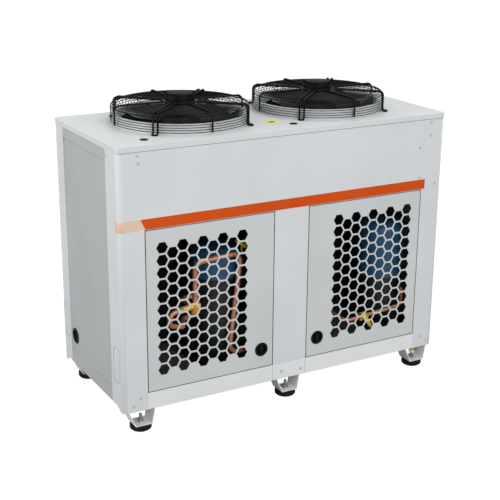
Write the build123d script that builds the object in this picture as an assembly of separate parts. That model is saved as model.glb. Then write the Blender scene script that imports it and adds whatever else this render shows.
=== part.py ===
from build123d import *
import math
import os

os.makedirs("parts", exist_ok=True)

# Air-cooled refrigeration condensing unit with two fans on its deck.
# Millimetres. X runs along the front, the front faces -Y, Z is up, and the origin is on the floor
# under the middle of the cabinet.

# Cabinet
cab_w = 1500.0
cab_d = 650.0
cab_h = 1055.0
ground_gap = 95.0
sheet = 2.0
lid_lip = 20.0
lid_gap = 0.3
edge_r = 20.0
deck_z = ground_gap + cab_h
body_x = cab_w / 2 - sheet - lid_gap
body_y = cab_d / 2 - sheet - lid_gap
body_top = deck_z - sheet
body_r = edge_r - sheet - lid_gap

# Base rails, which carry the legs, the tray and the door pins
rail_h = 70.0
rail_flange = 40.0
side_rail_lift = 15.0
rail_top = ground_gap + rail_h

# Posts
post_face = 107.0
bay_x = cab_w / 2 - post_face
post_front_w = 110.0
post_rear_w = 90.0
post_return = 8.0
centre_half = 79.0
jamb_d = 21.0
jamb_lip = 18.0
knockout_w = 60.0
knockout_h = 152.0
knockout_z = 285.0
knockout_cut = 0.6
foot_cut_near = 30.0
foot_cut_far = 60.0

# Panels
bay_top = 829.0
panel_flange = 30.0
side_recess = 6.0
side_step_z = 1080.0
tray_front = 27.0
tray_lip = 15.0
panel_foot = 15.0
tray_t = 2.0
tray_clear = 2.0
baffle_in = 227.7
baffle_y = body_y - baffle_in
baffle_front = 16.0
baffle_side_gap = 5.0

# Accent strip across the front
strip_z = 831.0
strip_h = 41.0
strip_over = 16.0
strip_x = bay_x + strip_over
strip_t = 1.2
strip_slant = 20.0
tail_wrap = 30.0

# Doors and their pins
door_gap = 4.0
door_t = 1.5
door_depth = 16.0
pin_in = 8.0
pin_r = 4.0
pin_fit = 0.05
pin_collar_r = 7.0
pin_collar_gap = 0.3
pin_reach = 10.0
hex_across = 43.0
hex_pitch = 50.0
hex_latch_margin = 116.0
hex_hinge_margin = 40.0
hex_foot_margin = 58.5
hex_head_margin = 50.5

# Quarter-turn latches
latch_r = 30.0
latch_in = 52.0
latch_z = 247.0
latch_flange = 2.2
latch_cup_r = 24.5
latch_cup_d = 13.0
latch_wall = 2.0
latch_hole_gap = 0.3
latch_shaft_r = 6.0
latch_fit = 0.05
latch_sides = 16
bore_sides = 12
wing_l = 40.0
wing_t = 8.0
cam_l = 46.0
cam_w = 16.0
cam_t = 3.0
cam_gap = 0.3

# Fans
fan_x = 325.0
fan_y = 22.0
deck_hole_r = 262.0
nozzle_foot_r = 272.5
nozzle_top_r = 268.5
nozzle_h = 41.0
nozzle_sides = 24
opening_sides = 24
throat_r = 253.0
throat_drop = 45.0
tip_gap = 5.0
motor_r = 62.0
motor_top = 117.0
motor_foot = 30.0
motor_sides = 20
guard_h = 88.0
strut_t = 6.0
hub_gap = 0.5
hub_top_r = 74.0
hub_low_r = 92.0
hub_drop = 45.0
shaft_r = 10.0
shaft_l = 25.0
shaft_fit = 0.05
blade_count = 5
blade_t = 3.0
blade_root_r = 66.0
blade_mid_r = 160.0
blade_pitch = 24.0
blade_height = -12.0
blade_root_angles = (-30.0, 30.0)
blade_mid_angles = (-20.0, 27.0)
blade_tip_angles = (-4.0, 44.0)
blade_steps = 3

# Fan guards
guard_r = 283.0
guard_bend = 18.0
guard_foot_r = 304.0
guard_pair = 19.0
guard_lift = 8.0
ring_wire = 3.5
guard_eye_w = 22.0
ring_sides = 16

# Deck grommets
grommet_dx = -272.0
grommet_dy = -254.0
grommet_r = 16.0
grommet_h = 3.0
grommet_stem_r = 12.0
grommet_sides = 12

# Legs and feet
leg_top_half = 57.5
leg_side = 22.2
leg_x = body_x - leg_side - leg_top_half
leg_slope_left = 30.0
leg_slope_right = 13.0
leg_depth = 75.0
leg_t = 3.0
leg_back = 5.0
leg_flange = 12.0
foot_h = 27.0
foot_r = 44.0
foot_edge = 6.0
foot_sides = 12
bolt_r = 6.0
bolt_h = 34.0
nut_across = 19.0
nut_h = 10.0

# Compressor bay
compressor_r = 105.0
compressor_h = 470.0
compressor_dome = 22.0
left_shell_out = 171.0
left_shell_in = 187.7
right_shell_side = 167.7
right_shell_in = 184.7
compressor_left = (-centre_half - left_shell_out, -body_y + left_shell_in)
compressor_right = (body_x - right_shell_side, -body_y + right_shell_in)
mount_plate = 230.0
mount_plate_t = 5.0
mount_inset = 22.0
mount_r = 18.0
mount_h = 20.0
box_w = 96.0
box_h = 110.0
box_d = 50.0
box_lift = 20.0
receiver_r = 76.0
receiver_h = 420.0
receiver_out = 71.0
receiver_gap = 29.0
receiver_at = (centre_half + receiver_out, baffle_y - receiver_gap - receiver_r)
receiver_leg = 30.0
receiver_leg_r = 40.0
receiver_leg_t = 6.0
receiver_leg_w = 30.0
control_w = 184.0
control_h = 300.0
control_d = 120.0
control_z = 420.0
shell_sides = 24
loop_r = 11.0
loop_bend = 24.0
pipe_stand = 20.0
angle_valve_out = 49.0
angle_valve_x = compressor_left[0] - compressor_r - angle_valve_out
angle_valve_z = 455.0
valve_half = 20.0
loop_top_z = 645.0
loop_rise = 12.0
loop_drop_in = 54.0
loop_drop_x = compressor_left[0] + loop_drop_in
loop_lean = 56.0
loop_low_z = 232.0
loop_end_in = 150.0
loop_end_x = compressor_left[0] + loop_end_in
liquid_r = 9.0
liquid_bend = 14.0
liquid_in = 64.7
liquid_y = -body_y + liquid_in
liquid_run = 100.0
liquid_x0 = receiver_at[0] + receiver_r + liquid_run
liquid_past = 38.0
liquid_x1 = compressor_right[0] + liquid_past
liquid_z = 262.0
liquid_rise = 24.0
liquid_top_z = 360.0
ball_valve_along = 86.0
ball_valve_x = liquid_x0 + ball_valve_along
ball_valve_half = 14.0
ball_valve_l = 44.0
valve_stem_r = 5.0
valve_boss = 4.0
lever_l = 62.0
lever_w = 18.0
lever_t = 4.0
lever_lean = 55.0

# Coil behind the rear posts
coil_t = 66.0
coil_back = 10.0
coil_end = 3.0
coil_top_gap = 8.0
coil_plate_t = 3.0

# Side pipe exit
exit_in = 131.0
exit_y = cab_d / 2 - exit_in
exit_z = 237.0
exit_r = 29.0
exit_bore_r = 24.0
exit_flange_r = 34.0
exit_flange_t = 3.0


def outline(points):
    """Closed flat face through the points."""
    return make_face(Polyline(*points, close=True))


def folded(points, thickness=sheet):
    """Face of a folded sheet whose skin follows the points, with its wall to their left."""
    return make_face(offset(Polyline(*points), thickness, kind=Kind.INTERSECTION, side=Side.LEFT))


def block(x0, x1, y0, y1, z0, z1):
    """Solid box between two corners."""
    return Pos((x0 + x1) / 2, (y0 + y1) / 2, (z0 + z1) / 2) * Box(x1 - x0, y1 - y0, z1 - z0)


def along_x(face, x0, x1):
    """Extrude a face drawn in Y and Z between two X stations."""
    return Pos(x0, 0, 0) * extrude(Plane.YZ * face, x1 - x0)


def along_y(face, y0, y1):
    """Extrude a face drawn in X and Z between two Y stations."""
    return Pos(0, y1, 0) * extrude(Plane.XZ * face, y1 - y0)


def along_z(face, z0, z1):
    """Extrude a face drawn in X and Y between two Z stations."""
    return Pos(0, 0, z0) * extrude(face, z1 - z0)


def flipped(solid):
    """The same piece on the left side."""
    return mirror(solid, about=Plane.YZ)


def disc(radius, z0, z1, x=0.0, y=0.0):
    """Upright cylinder between two heights."""
    return Pos(x, y, (z0 + z1) / 2) * Cylinder(radius, z1 - z0)


def disc_y(radius, y0, y1, x, z):
    """Cylinder along Y between two stations."""
    return Pos(x, (y0 + y1) / 2, z) * Rot(90, 0, 0) * Cylinder(radius, y1 - y0)


def frustum(r0, r1, z0, z1, sides):
    """Many-sided cone between two heights, by the radius of its corners at each."""
    height = z1 - z0
    wide = max(r0, r1)
    lean = math.degrees(math.atan2((wide - min(r0, r1)) * math.cos(math.pi / sides), height))
    cone = extrude(RegularPolygon(wide, sides), height, taper=lean)
    if r1 > r0:
        return Pos(0, 0, z1) * mirror(cone, about=Plane.XY)
    return Pos(0, 0, z0) * cone


def flats(radius, sides):
    """Many-sided face whose flats lie outside a circle, with flats at both axes."""
    return Rot(0, 0, 180 / sides) * RegularPolygon(radius, sides, major_radius=False)


def rounded_at(solid, x, y, radius):
    """Round the upright edge nearest a point of the plan."""
    edge = solid.edges().filter_by(Axis.Z).sort_by_distance((x, y, solid.center().Z))[0]
    return fillet(edge, radius)


def tube(points, radius, bend):
    """Six-sided rod along straight runs, with each corner cut across at one distance."""
    path = [points[0]]
    for before, corner, after in zip(points, points[1:], points[2:]):
        corner = Vector(*corner)
        path.append(corner + (Vector(*before) - corner).normalized() * bend)
        path.append(corner + (Vector(*after) - corner).normalized() * bend)
    line = Polyline(*path, points[-1])
    section = Plane(origin=line @ 0, z_dir=line % 0) * RegularPolygon(radius, 6)
    return sweep(section, path=line, transition=Transition.RIGHT)


def knockout_groove(y):
    """Obround pressed into a side flange."""
    face = Pos(y, knockout_z) * SlotOverall(knockout_h, knockout_w, rotation=90)
    return along_x(face, body_x - knockout_cut, body_x + 1)


def front_corner_post():
    """Right-hand front post: jamb and stop lip, front face, round corner, side flange."""
    y0 = -body_y
    skin = [
        (bay_x - jamb_lip, y0 + jamb_d),
        (bay_x, y0 + jamb_d),
        (bay_x, y0),
        (body_x, y0),
        (body_x, y0 + post_front_w),
        (body_x - post_return, y0 + post_front_w),
    ]
    post = along_z(folded(skin), ground_gap, body_top)
    post = rounded_at(post, body_x - sheet, y0 + sheet, body_r - sheet)
    post = rounded_at(post, body_x, y0, body_r)
    lip_x = bay_x - jamb_lip - 1
    lip_y0 = y0 + jamb_d - 1
    lip_y1 = y0 + jamb_d + sheet + 1
    lip_low = block(lip_x, bay_x, lip_y0, lip_y1, ground_gap, rail_top)
    lip_high = block(lip_x, bay_x, lip_y0, lip_y1, bay_top, body_top)
    slope = [
        (y0 + foot_cut_near, ground_gap),
        (y0 + foot_cut_far, ground_gap + side_rail_lift),
        (y0 + post_front_w + 1, ground_gap + side_rail_lift),
        (y0 + post_front_w + 1, ground_gap - 1),
        (y0 + foot_cut_near, ground_gap - 1),
    ]
    foot_cut = along_x(outline(slope), body_x - post_return - 1, body_x + 1)
    return post - lip_low - lip_high - foot_cut - knockout_groove(y0 + post_front_w / 2 + sheet)


def rear_corner_post():
    """Right-hand rear post: side flange, round corner, rear face and return."""
    y1 = body_y
    skin = [
        (body_x - post_return, y1 - post_rear_w),
        (body_x, y1 - post_rear_w),
        (body_x, y1),
        (bay_x, y1),
        (bay_x, y1 - post_return),
    ]
    post = along_z(folded(skin), ground_gap, body_top)
    post = rounded_at(post, body_x - sheet, y1 - sheet, body_r - sheet)
    post = rounded_at(post, body_x, y1, body_r)
    slope = [
        (y1 - foot_cut_near, ground_gap),
        (y1 - foot_cut_far, ground_gap + side_rail_lift),
        (y1 - post_rear_w - 1, ground_gap + side_rail_lift),
        (y1 - post_rear_w - 1, ground_gap - 1),
        (y1 - foot_cut_near, ground_gap - 1),
    ]
    foot_cut = along_x(outline(slope), body_x - post_return - 1, body_x + 1)
    return post - foot_cut - knockout_groove(y1 - post_rear_w / 2)


def centre_post():
    """Hat-section post between the two doors, with a stop lip for each."""
    y0 = -body_y
    skin = [
        (-centre_half - jamb_lip, y0 + jamb_d),
        (-centre_half, y0 + jamb_d),
        (-centre_half, y0),
        (centre_half, y0),
        (centre_half, y0 + jamb_d),
        (centre_half + jamb_lip, y0 + jamb_d),
    ]
    return along_z(folded(skin), rail_top, bay_top)


def pin_x():
    """Distance of a door pin from the middle of the cabinet."""
    return bay_x - door_gap - pin_in


def pin_y():
    """Depth station of the door pins."""
    return -body_y + pin_in


def base_rail_front():
    """Channel under the doors, bored for the lower door pins."""
    y0 = -body_y
    skin = [
        (y0 + rail_flange, rail_top),
        (y0, rail_top),
        (y0, ground_gap),
        (y0 + rail_flange, ground_gap),
    ]
    rail = along_x(folded(skin), -bay_x, bay_x)
    for side in (-1, 1):
        bore = along_z(flats(pin_r + pin_fit, bore_sides), rail_top - sheet - 1, rail_top + 1)
        rail -= Pos(side * pin_x(), pin_y(), 0) * bore
    return rail


def base_rail_rear():
    """Channel under the coil."""
    skin = [
        (body_y - rail_flange, ground_gap),
        (body_y, ground_gap),
        (body_y, rail_top),
        (body_y - rail_flange, rail_top),
    ]
    return along_x(folded(skin), -bay_x, bay_x)


def base_rail_side():
    """Right-hand side channel between the corner posts."""
    skin = [
        (body_x - rail_flange, ground_gap + side_rail_lift),
        (body_x, ground_gap + side_rail_lift),
        (body_x, rail_top),
        (body_x - rail_flange, rail_top),
    ]
    return along_y(folded(skin), -body_y + post_front_w, body_y - post_rear_w)


def base_tray():
    """Floor pan on the rails, with a lip along its front."""
    half_x = body_x - side_recess - panel_foot - tray_clear
    y0 = -body_y + tray_front
    y1 = body_y - tray_front
    skin = [
        (y0, rail_top + tray_lip),
        (y0, rail_top),
        (y1, rail_top),
    ]
    return along_x(folded(skin, tray_t), -half_x, half_x)


def upper_panel():
    """Blank panel above the doors, folded at its top and bottom."""
    y0 = -body_y
    skin = [
        (y0 + panel_flange, body_top),
        (y0, body_top),
        (y0, bay_top),
        (y0 + panel_flange, bay_top),
    ]
    panel = along_x(folded(skin), -bay_x, bay_x)
    for side in (-1, 1):
        bore = along_z(flats(pin_r + pin_fit, bore_sides), bay_top - 1, bay_top + sheet + 1)
        panel -= Pos(side * pin_x(), pin_y(), 0) * bore
    return panel


def coil_top():
    """Height of the coil's top, under the air rings."""
    return deck_z - throat_drop - coil_top_gap


def rear_panel():
    """Blank strip above the coil, folded at its top and bottom."""
    y1 = body_y
    skin = [
        (y1 - panel_flange / 2, coil_top()),
        (y1, coil_top()),
        (y1, body_top),
        (y1 - panel_flange / 2, body_top),
    ]
    return along_x(folded(skin), -bay_x, bay_x)


def side_panel():
    """Right-hand side sheet, recessed below a step."""
    recess_x = body_x - side_recess
    skin = [
        (recess_x - panel_foot, rail_top),
        (recess_x, rail_top),
        (recess_x, side_step_z),
        (body_x, side_step_z + side_recess),
        (body_x, body_top),
        (body_x - panel_flange, body_top),
    ]
    return along_y(folded(skin), -body_y + post_front_w, body_y - post_rear_w)


def side_panel_with_exit():
    """Left-hand side sheet, bored for the pipe grommet."""
    hole = along_x(RegularPolygon(exit_r, opening_sides), -body_x, -body_x + side_recess + sheet + 1)
    hole = Pos(0, exit_y, exit_z) * hole
    return flipped(side_panel()) - hole


def pipe_grommet():
    """Rubber bush in the left side sheet."""
    face_x = body_x - side_recess
    bush = extrude(RegularPolygon(exit_r - lid_gap, opening_sides), -sheet - exit_flange_t)
    bush += extrude(RegularPolygon(exit_flange_r, opening_sides), exit_flange_t)
    bush -= Cylinder(exit_bore_r, sheet + 4 * exit_flange_t)
    return Pos(-face_x, exit_y, exit_z) * Rot(0, -90, 0) * bush


def compartment_baffle():
    """Sheet over and behind the compressor bay."""
    half_x = body_x - post_return - baffle_side_gap
    y0 = -body_y + baffle_front
    top = bay_top + sheet
    skin = [
        (baffle_y, rail_top + tray_t),
        (baffle_y, top + sheet),
        (y0, top + sheet),
    ]
    baffle = along_x(folded(skin), -half_x, half_x)
    notch_y = y0 + jamb_d
    for side in (-1, 1):
        near = side * (bay_x - door_gap)
        far = side * (half_x + 1)
        baffle -= block(min(near, far), max(near, far), y0 - 1, notch_y, bay_top, top + 2 * sheet)
    return baffle


def deck_grommet_places():
    """Middle of the cable bush beside each fan."""
    return [(side * fan_x + grommet_dx, fan_y + grommet_dy) for side in (-1, 1)]


def top_deck():
    """Lid with a lip all round, two fan holes and two cable holes."""
    plate = along_z(RectangleRounded(cab_w, cab_d, edge_r), deck_z - lid_lip, deck_z)
    inner = RectangleRounded(cab_w - 2 * sheet, cab_d - 2 * sheet, edge_r - sheet)
    deck = plate - along_z(inner, deck_z - lid_lip - 1, deck_z - sheet)
    fan_hole = along_z(RegularPolygon(deck_hole_r, opening_sides), deck_z - 2 * sheet, deck_z + 1)
    cable_hole = along_z(RegularPolygon(grommet_stem_r, grommet_sides), deck_z - 2 * sheet, deck_z + 1)
    for side in (-1, 1):
        deck -= Pos(side * fan_x, fan_y, 0) * fan_hole
    for x, y in deck_grommet_places():
        deck -= Pos(x, y, 0) * cable_hole
    return deck


def rubber_bushes():
    """Pipe bush in the side sheet and a cable bush in the deck beside each fan."""
    head = along_z(RegularPolygon(grommet_r, grommet_sides), deck_z, deck_z + grommet_h)
    stem = along_z(RegularPolygon(grommet_stem_r, grommet_sides), deck_z - sheet - grommet_h, deck_z)
    pieces = [pipe_grommet()]
    pieces += [Pos(x, y, 0) * (head + stem) for x, y in deck_grommet_places()]
    return Compound(children=pieces)


def accent_strip():
    """Painted band over the panel foot and the post faces, cut on a slant at its left end."""
    ends = [
        (-strip_x, strip_z + strip_h),
        (-strip_x + strip_slant, strip_z),
        (strip_x, strip_z),
        (strip_x, strip_z + strip_h),
    ]
    return along_y(outline(ends), -body_y - strip_t, -body_y)


def accent_tail():
    """Pale end of the band, from the slant round the left corner."""
    x0 = -body_x - strip_t
    y0 = -body_y - strip_t
    x1 = -strip_x + strip_slant
    outer = outline([(x0, y0 + tail_wrap), (x0, y0), (x1, y0), (x1, y0 + tail_wrap)])
    y1 = y0 + tail_wrap + 1
    inner = outline([(-body_x, y1), (-body_x, -body_y), (0, -body_y), (0, y1)])
    band = rounded_at(along_z(outer, strip_z, strip_z + strip_h), x0, y0, body_r + strip_t)
    hollow = rounded_at(along_z(inner, strip_z - 1, strip_z + strip_h + 1), -body_x, -body_y, body_r)
    slant = [
        (-strip_x, strip_z + strip_h),
        (x1, strip_z),
        (strip_x, strip_z),
        (strip_x, strip_z + strip_h),
    ]
    return band - hollow - along_y(outline(slant), y0 - 1, 0)


def hex_field(x0, x1, z0, z1):
    """Staggered hexagons in X and Z that fill a door of this outline, inside its margins."""
    x0 += hex_latch_margin
    x1 -= hex_hinge_margin
    z0 += hex_foot_margin
    z1 -= hex_head_margin
    column_pitch = hex_pitch * math.sqrt(3) / 2
    cell_r = hex_across / math.sqrt(3)
    columns = 1 + int((x1 - x0 - 2 * cell_r) / column_pitch)
    most_rows = 1 + int((z1 - z0 - hex_across) / hex_pitch)
    cells = []
    for column in range(columns):
        rows = most_rows - column % 2
        x = (x0 + x1) / 2 + (column - (columns - 1) / 2) * column_pitch
        for row in range(rows):
            z = (z0 + z1) / 2 + (row - (rows - 1) / 2) * hex_pitch
            cells.append(Pos(x, z) * RegularPolygon(cell_r, 6))
    return cells


def latch_x():
    """Distance of a latch from the middle of the cabinet."""
    return centre_half + door_gap + latch_in


def door():
    """Right-hand door: a pan with a hexagon field and a latch hole."""
    x0 = centre_half + door_gap
    x1 = bay_x - door_gap
    z0 = rail_top + door_gap
    z1 = bay_top - door_gap
    plate = outline([(x0, z0), (x1, z0), (x1, z1), (x0, z1)])
    plate -= hex_field(x0, x1, z0, z1)
    plate -= Pos(latch_x(), latch_z) * RegularPolygon(latch_cup_r + latch_hole_gap, latch_sides)
    face = along_y(plate, -body_y, -body_y + door_t)
    rim = outline([(x0, z0), (x1, z0), (x1, z1), (x0, z1)])
    rim -= outline([
        (x0 + door_t, z0 + door_t),
        (x1 - door_t, z0 + door_t),
        (x1 - door_t, z1 - door_t),
        (x0 + door_t, z1 - door_t),
    ])
    return face + along_y(rim, -body_y, -body_y + door_depth)


def latch_cup():
    """Round cup of a latch, with its flange on the door face."""
    y0 = -body_y - latch_flange
    y1 = -body_y + latch_cup_d
    middle = Pos(latch_x(), latch_z)
    cup = along_y(middle * RegularPolygon(latch_r, latch_sides), y0, -body_y)
    cup += along_y(middle * RegularPolygon(latch_cup_r, latch_sides), -body_y, y1)
    cup -= along_y(middle * RegularPolygon(latch_cup_r - latch_wall, latch_sides), y0 - 1, y1 - latch_wall)
    cup -= along_y(middle * flats(latch_shaft_r + latch_fit, bore_sides), y0 - 1, y1 + 1)
    return cup


def door_pins():
    """Upper and lower pins, each with a six-sided collar against the door's edge."""
    low = rail_top + door_gap
    high = bay_top - door_gap
    place = Pos(pin_x(), pin_y(), 0)
    collar = RegularPolygon(pin_collar_r, 6)
    lower = disc(pin_r, rail_top - pin_reach, rail_top + pin_collar_gap)
    lower += along_z(collar, rail_top + pin_collar_gap, low)
    upper = disc(pin_r, bay_top - pin_collar_gap, bay_top + pin_reach)
    upper += along_z(collar, high, bay_top - pin_collar_gap)
    return [place * lower, place * upper]


def door_hardware():
    """Latch cup and hinge pins of the right-hand door."""
    return Compound(children=[latch_cup()] + door_pins())


def latch_turner():
    """Wing, shaft and cam of the right-hand latch, with the cam upright and clear of the post."""
    floor_y = -body_y + latch_cup_d - latch_wall
    cam_y = -body_y + jamb_d + sheet + cam_gap
    x = latch_x()
    shaft = disc_y(latch_shaft_r, -body_y + 1, cam_y + cam_t, x, latch_z)
    wing = along_y(Rectangle(wing_t, wing_l), -body_y, floor_y - cam_gap)
    cam = block(-cam_w / 2, cam_w / 2, cam_y, cam_y + cam_t, -cam_w / 2, cam_l)
    return shaft + Pos(x, 0, latch_z) * (wing + cam)


def fan_nozzles():
    """Drawn air rings on the deck, each turned over into a throat that hangs through it."""
    foot = nozzle_foot_r - sheet
    top = nozzle_top_r - sheet
    throat = throat_r + sheet
    ring = frustum(nozzle_foot_r, nozzle_top_r, 0, nozzle_h, nozzle_sides)
    ring -= frustum(foot, top, 0, nozzle_h - sheet, nozzle_sides)
    ring += frustum(throat, throat, -throat_drop, nozzle_h, nozzle_sides)
    ring -= frustum(throat_r, throat_r, -throat_drop - 1, nozzle_h + 1, nozzle_sides)
    return Compound(children=[Pos(side * fan_x, fan_y, deck_z) * ring for side in (-1, 1)])


def strut_path(offset_y, foot):
    """Corner points of one guard wire, from the motor eye out, over the rim and down."""
    eye = motor_r + guard_eye_w
    top = guard_h - strut_t / 2
    points = [
        (eye, offset_y, top),
        (guard_r - guard_bend, offset_y, top),
        (guard_r, offset_y, top - guard_bend),
    ]
    if foot:
        points.append((guard_r, offset_y, strut_t / 2))
        points.append((guard_foot_r, offset_y, strut_t / 2))
    else:
        points.append((guard_r, offset_y, guard_lift))
    return points


def square_wire(points):
    """Square rod with mitred corners along the points."""
    path = Polyline(*points)
    section = Plane(origin=path @ 0, z_dir=path % 0) * Rectangle(strut_t, strut_t)
    return sweep(section, path=path, transition=Transition.RIGHT)


def wire_ring(outer_r, z):
    """Many-sided ring of square wire above a height, its outer flats on a circle."""
    face = flats(outer_r, ring_sides) - flats(outer_r - ring_wire, ring_sides)
    return along_z(face, z, z + ring_wire)


def fan_guard():
    """Wire basket about its own axis, standing on the deck at height zero."""
    top = guard_h - strut_t
    eye = flats(motor_r + guard_eye_w, opening_sides) - flats(motor_r + lid_gap, opening_sides)
    wires = [
        wire_ring(guard_r - strut_t / 2, guard_lift),
        wire_ring(guard_r - guard_bend - ring_wire, top - ring_wire),
        along_z(eye, top, guard_h),
    ]
    half = guard_pair / 2
    for turn in range(4):
        pair = strut_path(half, True) + strut_path(-half, True)[::-1]
        wires.append(Rot(0, 0, 45 + 90 * turn) * square_wire(pair))
        wires.append(Rot(0, 0, 90 * turn) * square_wire(strut_path(0, False)))
    return Compound(children=wires)


def fan_motors():
    """Motor cans in the guard eyes, bored for the rotor shafts."""
    motor = frustum(motor_r, motor_r, motor_foot, motor_top, motor_sides)
    motor -= along_z(flats(shaft_r + shaft_fit, bore_sides), motor_foot - 1, motor_foot + shaft_l + 1)
    return Compound(children=[Pos(side * fan_x, fan_y, deck_z) * motor for side in (-1, 1)])


def polar(radius, angle):
    """Point of a plan by radius and angle in degrees."""
    return (radius * math.cos(math.radians(angle)), radius * math.sin(math.radians(angle)))


def arc_points(start, middle, end):
    """Evenly spaced points along the arc through three points, without its last."""
    arc = ThreePointArc(start, middle, end)
    return [arc @ (step / blade_steps) for step in range(blade_steps)]


def fan_blade():
    """Sickle blade: a thin plate cut along arcs and pitched about the radius."""
    back_root, front_root = (polar(blade_root_r, angle) for angle in blade_root_angles)
    back_mid, front_mid = (polar(blade_mid_r, angle) for angle in blade_mid_angles)
    tip_r = throat_r - tip_gap
    back_tip, front_tip = (polar(tip_r, angle) for angle in blade_tip_angles)
    tip_mid = polar(tip_r, sum(blade_tip_angles) / 2)
    edge = arc_points(back_root, back_mid, back_tip)
    edge += arc_points(back_tip, tip_mid, front_tip)
    edge += arc_points(front_tip, front_mid, front_root)
    blade = extrude(outline(edge + [front_root]), blade_t / 2, both=True)
    return Pos(0, 0, blade_height) * Rot(blade_pitch, 0, 0) * blade


def fan_impeller():
    """Cone hub, shaft and sickle blades about the fan's own axis."""
    top = motor_foot - hub_gap
    rotor = frustum(hub_low_r, hub_top_r, -hub_drop, top, motor_sides)
    rotor += disc(shaft_r, top - 1, motor_foot + shaft_l)
    for turn in range(blade_count):
        rotor += Rot(0, 0, turn * 360 / blade_count) * fan_blade()
    return rotor


def leg_bracket():
    """Folded foot bracket about the middle of its top, slanting in towards the floor."""
    z1 = ground_gap
    z0 = foot_h
    skin = [
        (-leg_top_half + leg_flange, z1),
        (-leg_top_half, z1),
        (-leg_top_half + leg_slope_left, z0),
        (leg_top_half - leg_slope_right, z0),
        (leg_top_half, z1),
        (leg_top_half - leg_flange, z1),
    ]
    return along_y(folded(skin, leg_t), -leg_depth / 2, leg_depth / 2)


def leg_places():
    """Middle of each leg, by name."""
    y = body_y - leg_back - leg_depth / 2
    places = {}
    for row, sign in (("front", -1), ("rear", 1)):
        places[f"{row}_left"] = (-leg_x, sign * y)
        places[f"{row}_middle"] = (0.0, sign * y)
        places[f"{row}_right"] = (leg_x, sign * y)
    return places


def foot_x(x):
    """Middle of a bracket's floor plate, which its unequal slopes move sideways."""
    return x + (leg_slope_left - leg_slope_right) / 2


def rubber_feet():
    """Round pads under the six brackets."""
    pad = frustum(foot_r - foot_edge, foot_r, 0, foot_edge, foot_sides)
    pad += frustum(foot_r, foot_r, foot_edge, foot_h, foot_sides)
    return Compound(children=[Pos(foot_x(x), y, 0) * pad for x, y in leg_places().values()])


def leg_bolts():
    """Stud and nut on each bracket's floor plate."""
    floor_z = foot_h + leg_t
    bolt = along_z(RegularPolygon(nut_across / math.sqrt(3), 6), floor_z, floor_z + nut_h)
    bolt += along_z(RegularPolygon(bolt_r, 6), floor_z, floor_z + bolt_h)
    return Compound(children=[Pos(foot_x(x), y, 0) * bolt for x, y in leg_places().values()])


def compressor_places():
    """Middle of each compressor."""
    return [compressor_left, compressor_right]


def shell_floor():
    """Height of the compressor shells' mounting plates."""
    return rail_top + tray_t + mount_h


def vessel(radius, height):
    """Upright welded shell with bevelled ends, standing at height zero."""
    end_r = radius - compressor_dome
    shell = frustum(end_r, radius, 0, compressor_dome, shell_sides)
    shell += frustum(radius, radius, compressor_dome, height - compressor_dome, shell_sides)
    shell += frustum(radius, end_r, height - compressor_dome, height, shell_sides)
    return shell


def compressor_shells():
    """Hermetic shells, each on its own mounting plate."""
    z0 = shell_floor()
    half = mount_plate / 2
    shell = Pos(0, 0, z0 + mount_plate_t) * vessel(compressor_r, compressor_h)
    shell += block(-half, half, -half, half, z0, z0 + mount_plate_t)
    return Compound(children=[Pos(x, y, 0) * shell for x, y in compressor_places()])


def compressor_mounts():
    """Rubber blocks under the corners of the mounting plates."""
    z0 = rail_top + tray_t
    reach = mount_plate / 2 - mount_inset
    pieces = []
    for x, y in compressor_places():
        for side in (-1, 1):
            for row in (-1, 1):
                block_face = Pos(x + side * reach, y + row * reach) * RegularPolygon(mount_r, 6)
                pieces.append(along_z(block_face, z0, z0 + mount_h))
    return Compound(children=pieces)


def terminal_boxes():
    """Electrical boxes on the right-hand side of the shells."""
    z0 = shell_floor() + mount_plate_t + compressor_dome + box_lift
    pieces = []
    for x, y in compressor_places():
        side = x + compressor_r
        box = block(side - box_d / 2, side + box_d / 2, y - box_w / 2, y + box_w / 2, z0, z0 + box_h)
        shell = Pos(x, y, 0) * frustum(compressor_r, compressor_r, z0 - 1, z0 + box_h + 1, shell_sides)
        pieces.append(box - shell)
    return Compound(children=pieces)


def liquid_receiver():
    """Upright pressure vessel on three feet behind the middle post."""
    x, y = receiver_at
    tank = Pos(0, 0, receiver_leg) * vessel(receiver_r, receiver_h)
    for turn in range(3):
        far = receiver_leg_r + receiver_leg_t
        half = receiver_leg_w / 2
        leg = block(receiver_leg_r, far, -half, half, 0, receiver_leg + compressor_dome)
        tank += Rot(0, 0, 30 + 120 * turn) * leg
    return Pos(x, y, rail_top + tray_t) * tank


def control_box():
    """Electrical cabinet fastened to the back of the middle post's lips."""
    y0 = -body_y + jamb_d + sheet
    return block(-control_w / 2, control_w / 2, y0, y0 + control_d, control_z, control_z + control_h)


def copper_loop():
    """Pipe from the angle valve up, across the left shell's front, down and back to the receiver."""
    x, y = compressor_left
    front = y - compressor_r - pipe_stand
    tank_x, tank_y = receiver_at
    points = [
        (angle_valve_x, front, angle_valve_z + valve_half),
        (angle_valve_x, front, loop_top_z),
        (loop_drop_x, front, loop_top_z + loop_rise),
        (loop_drop_x - loop_lean, front, loop_low_z),
        (loop_end_x, front, loop_low_z),
        (loop_end_x, tank_y, loop_low_z),
        (tank_x - receiver_r, tank_y, loop_low_z),
    ]
    return tube(points, loop_r, loop_bend)


def angle_valve():
    """Angle valve at the foot of the copper loop, with a port to the left-hand shell."""
    x, y = compressor_left
    front = y - compressor_r - pipe_stand
    body = frustum(valve_half, valve_half, angle_valve_z - valve_half, angle_valve_z + valve_half, 6)
    port = [
        (angle_valve_x, front + valve_half / 2, angle_valve_z),
        (angle_valve_x, y, angle_valve_z),
        (x - compressor_r, y, angle_valve_z),
    ]
    return Pos(angle_valve_x, front, 0) * body + tube(port, loop_r, loop_bend)


def shell_front(x, place):
    """Depth station of a shell's front at a point along X."""
    return place[1] - math.sqrt(compressor_r ** 2 - (x - place[0]) ** 2)


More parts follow.
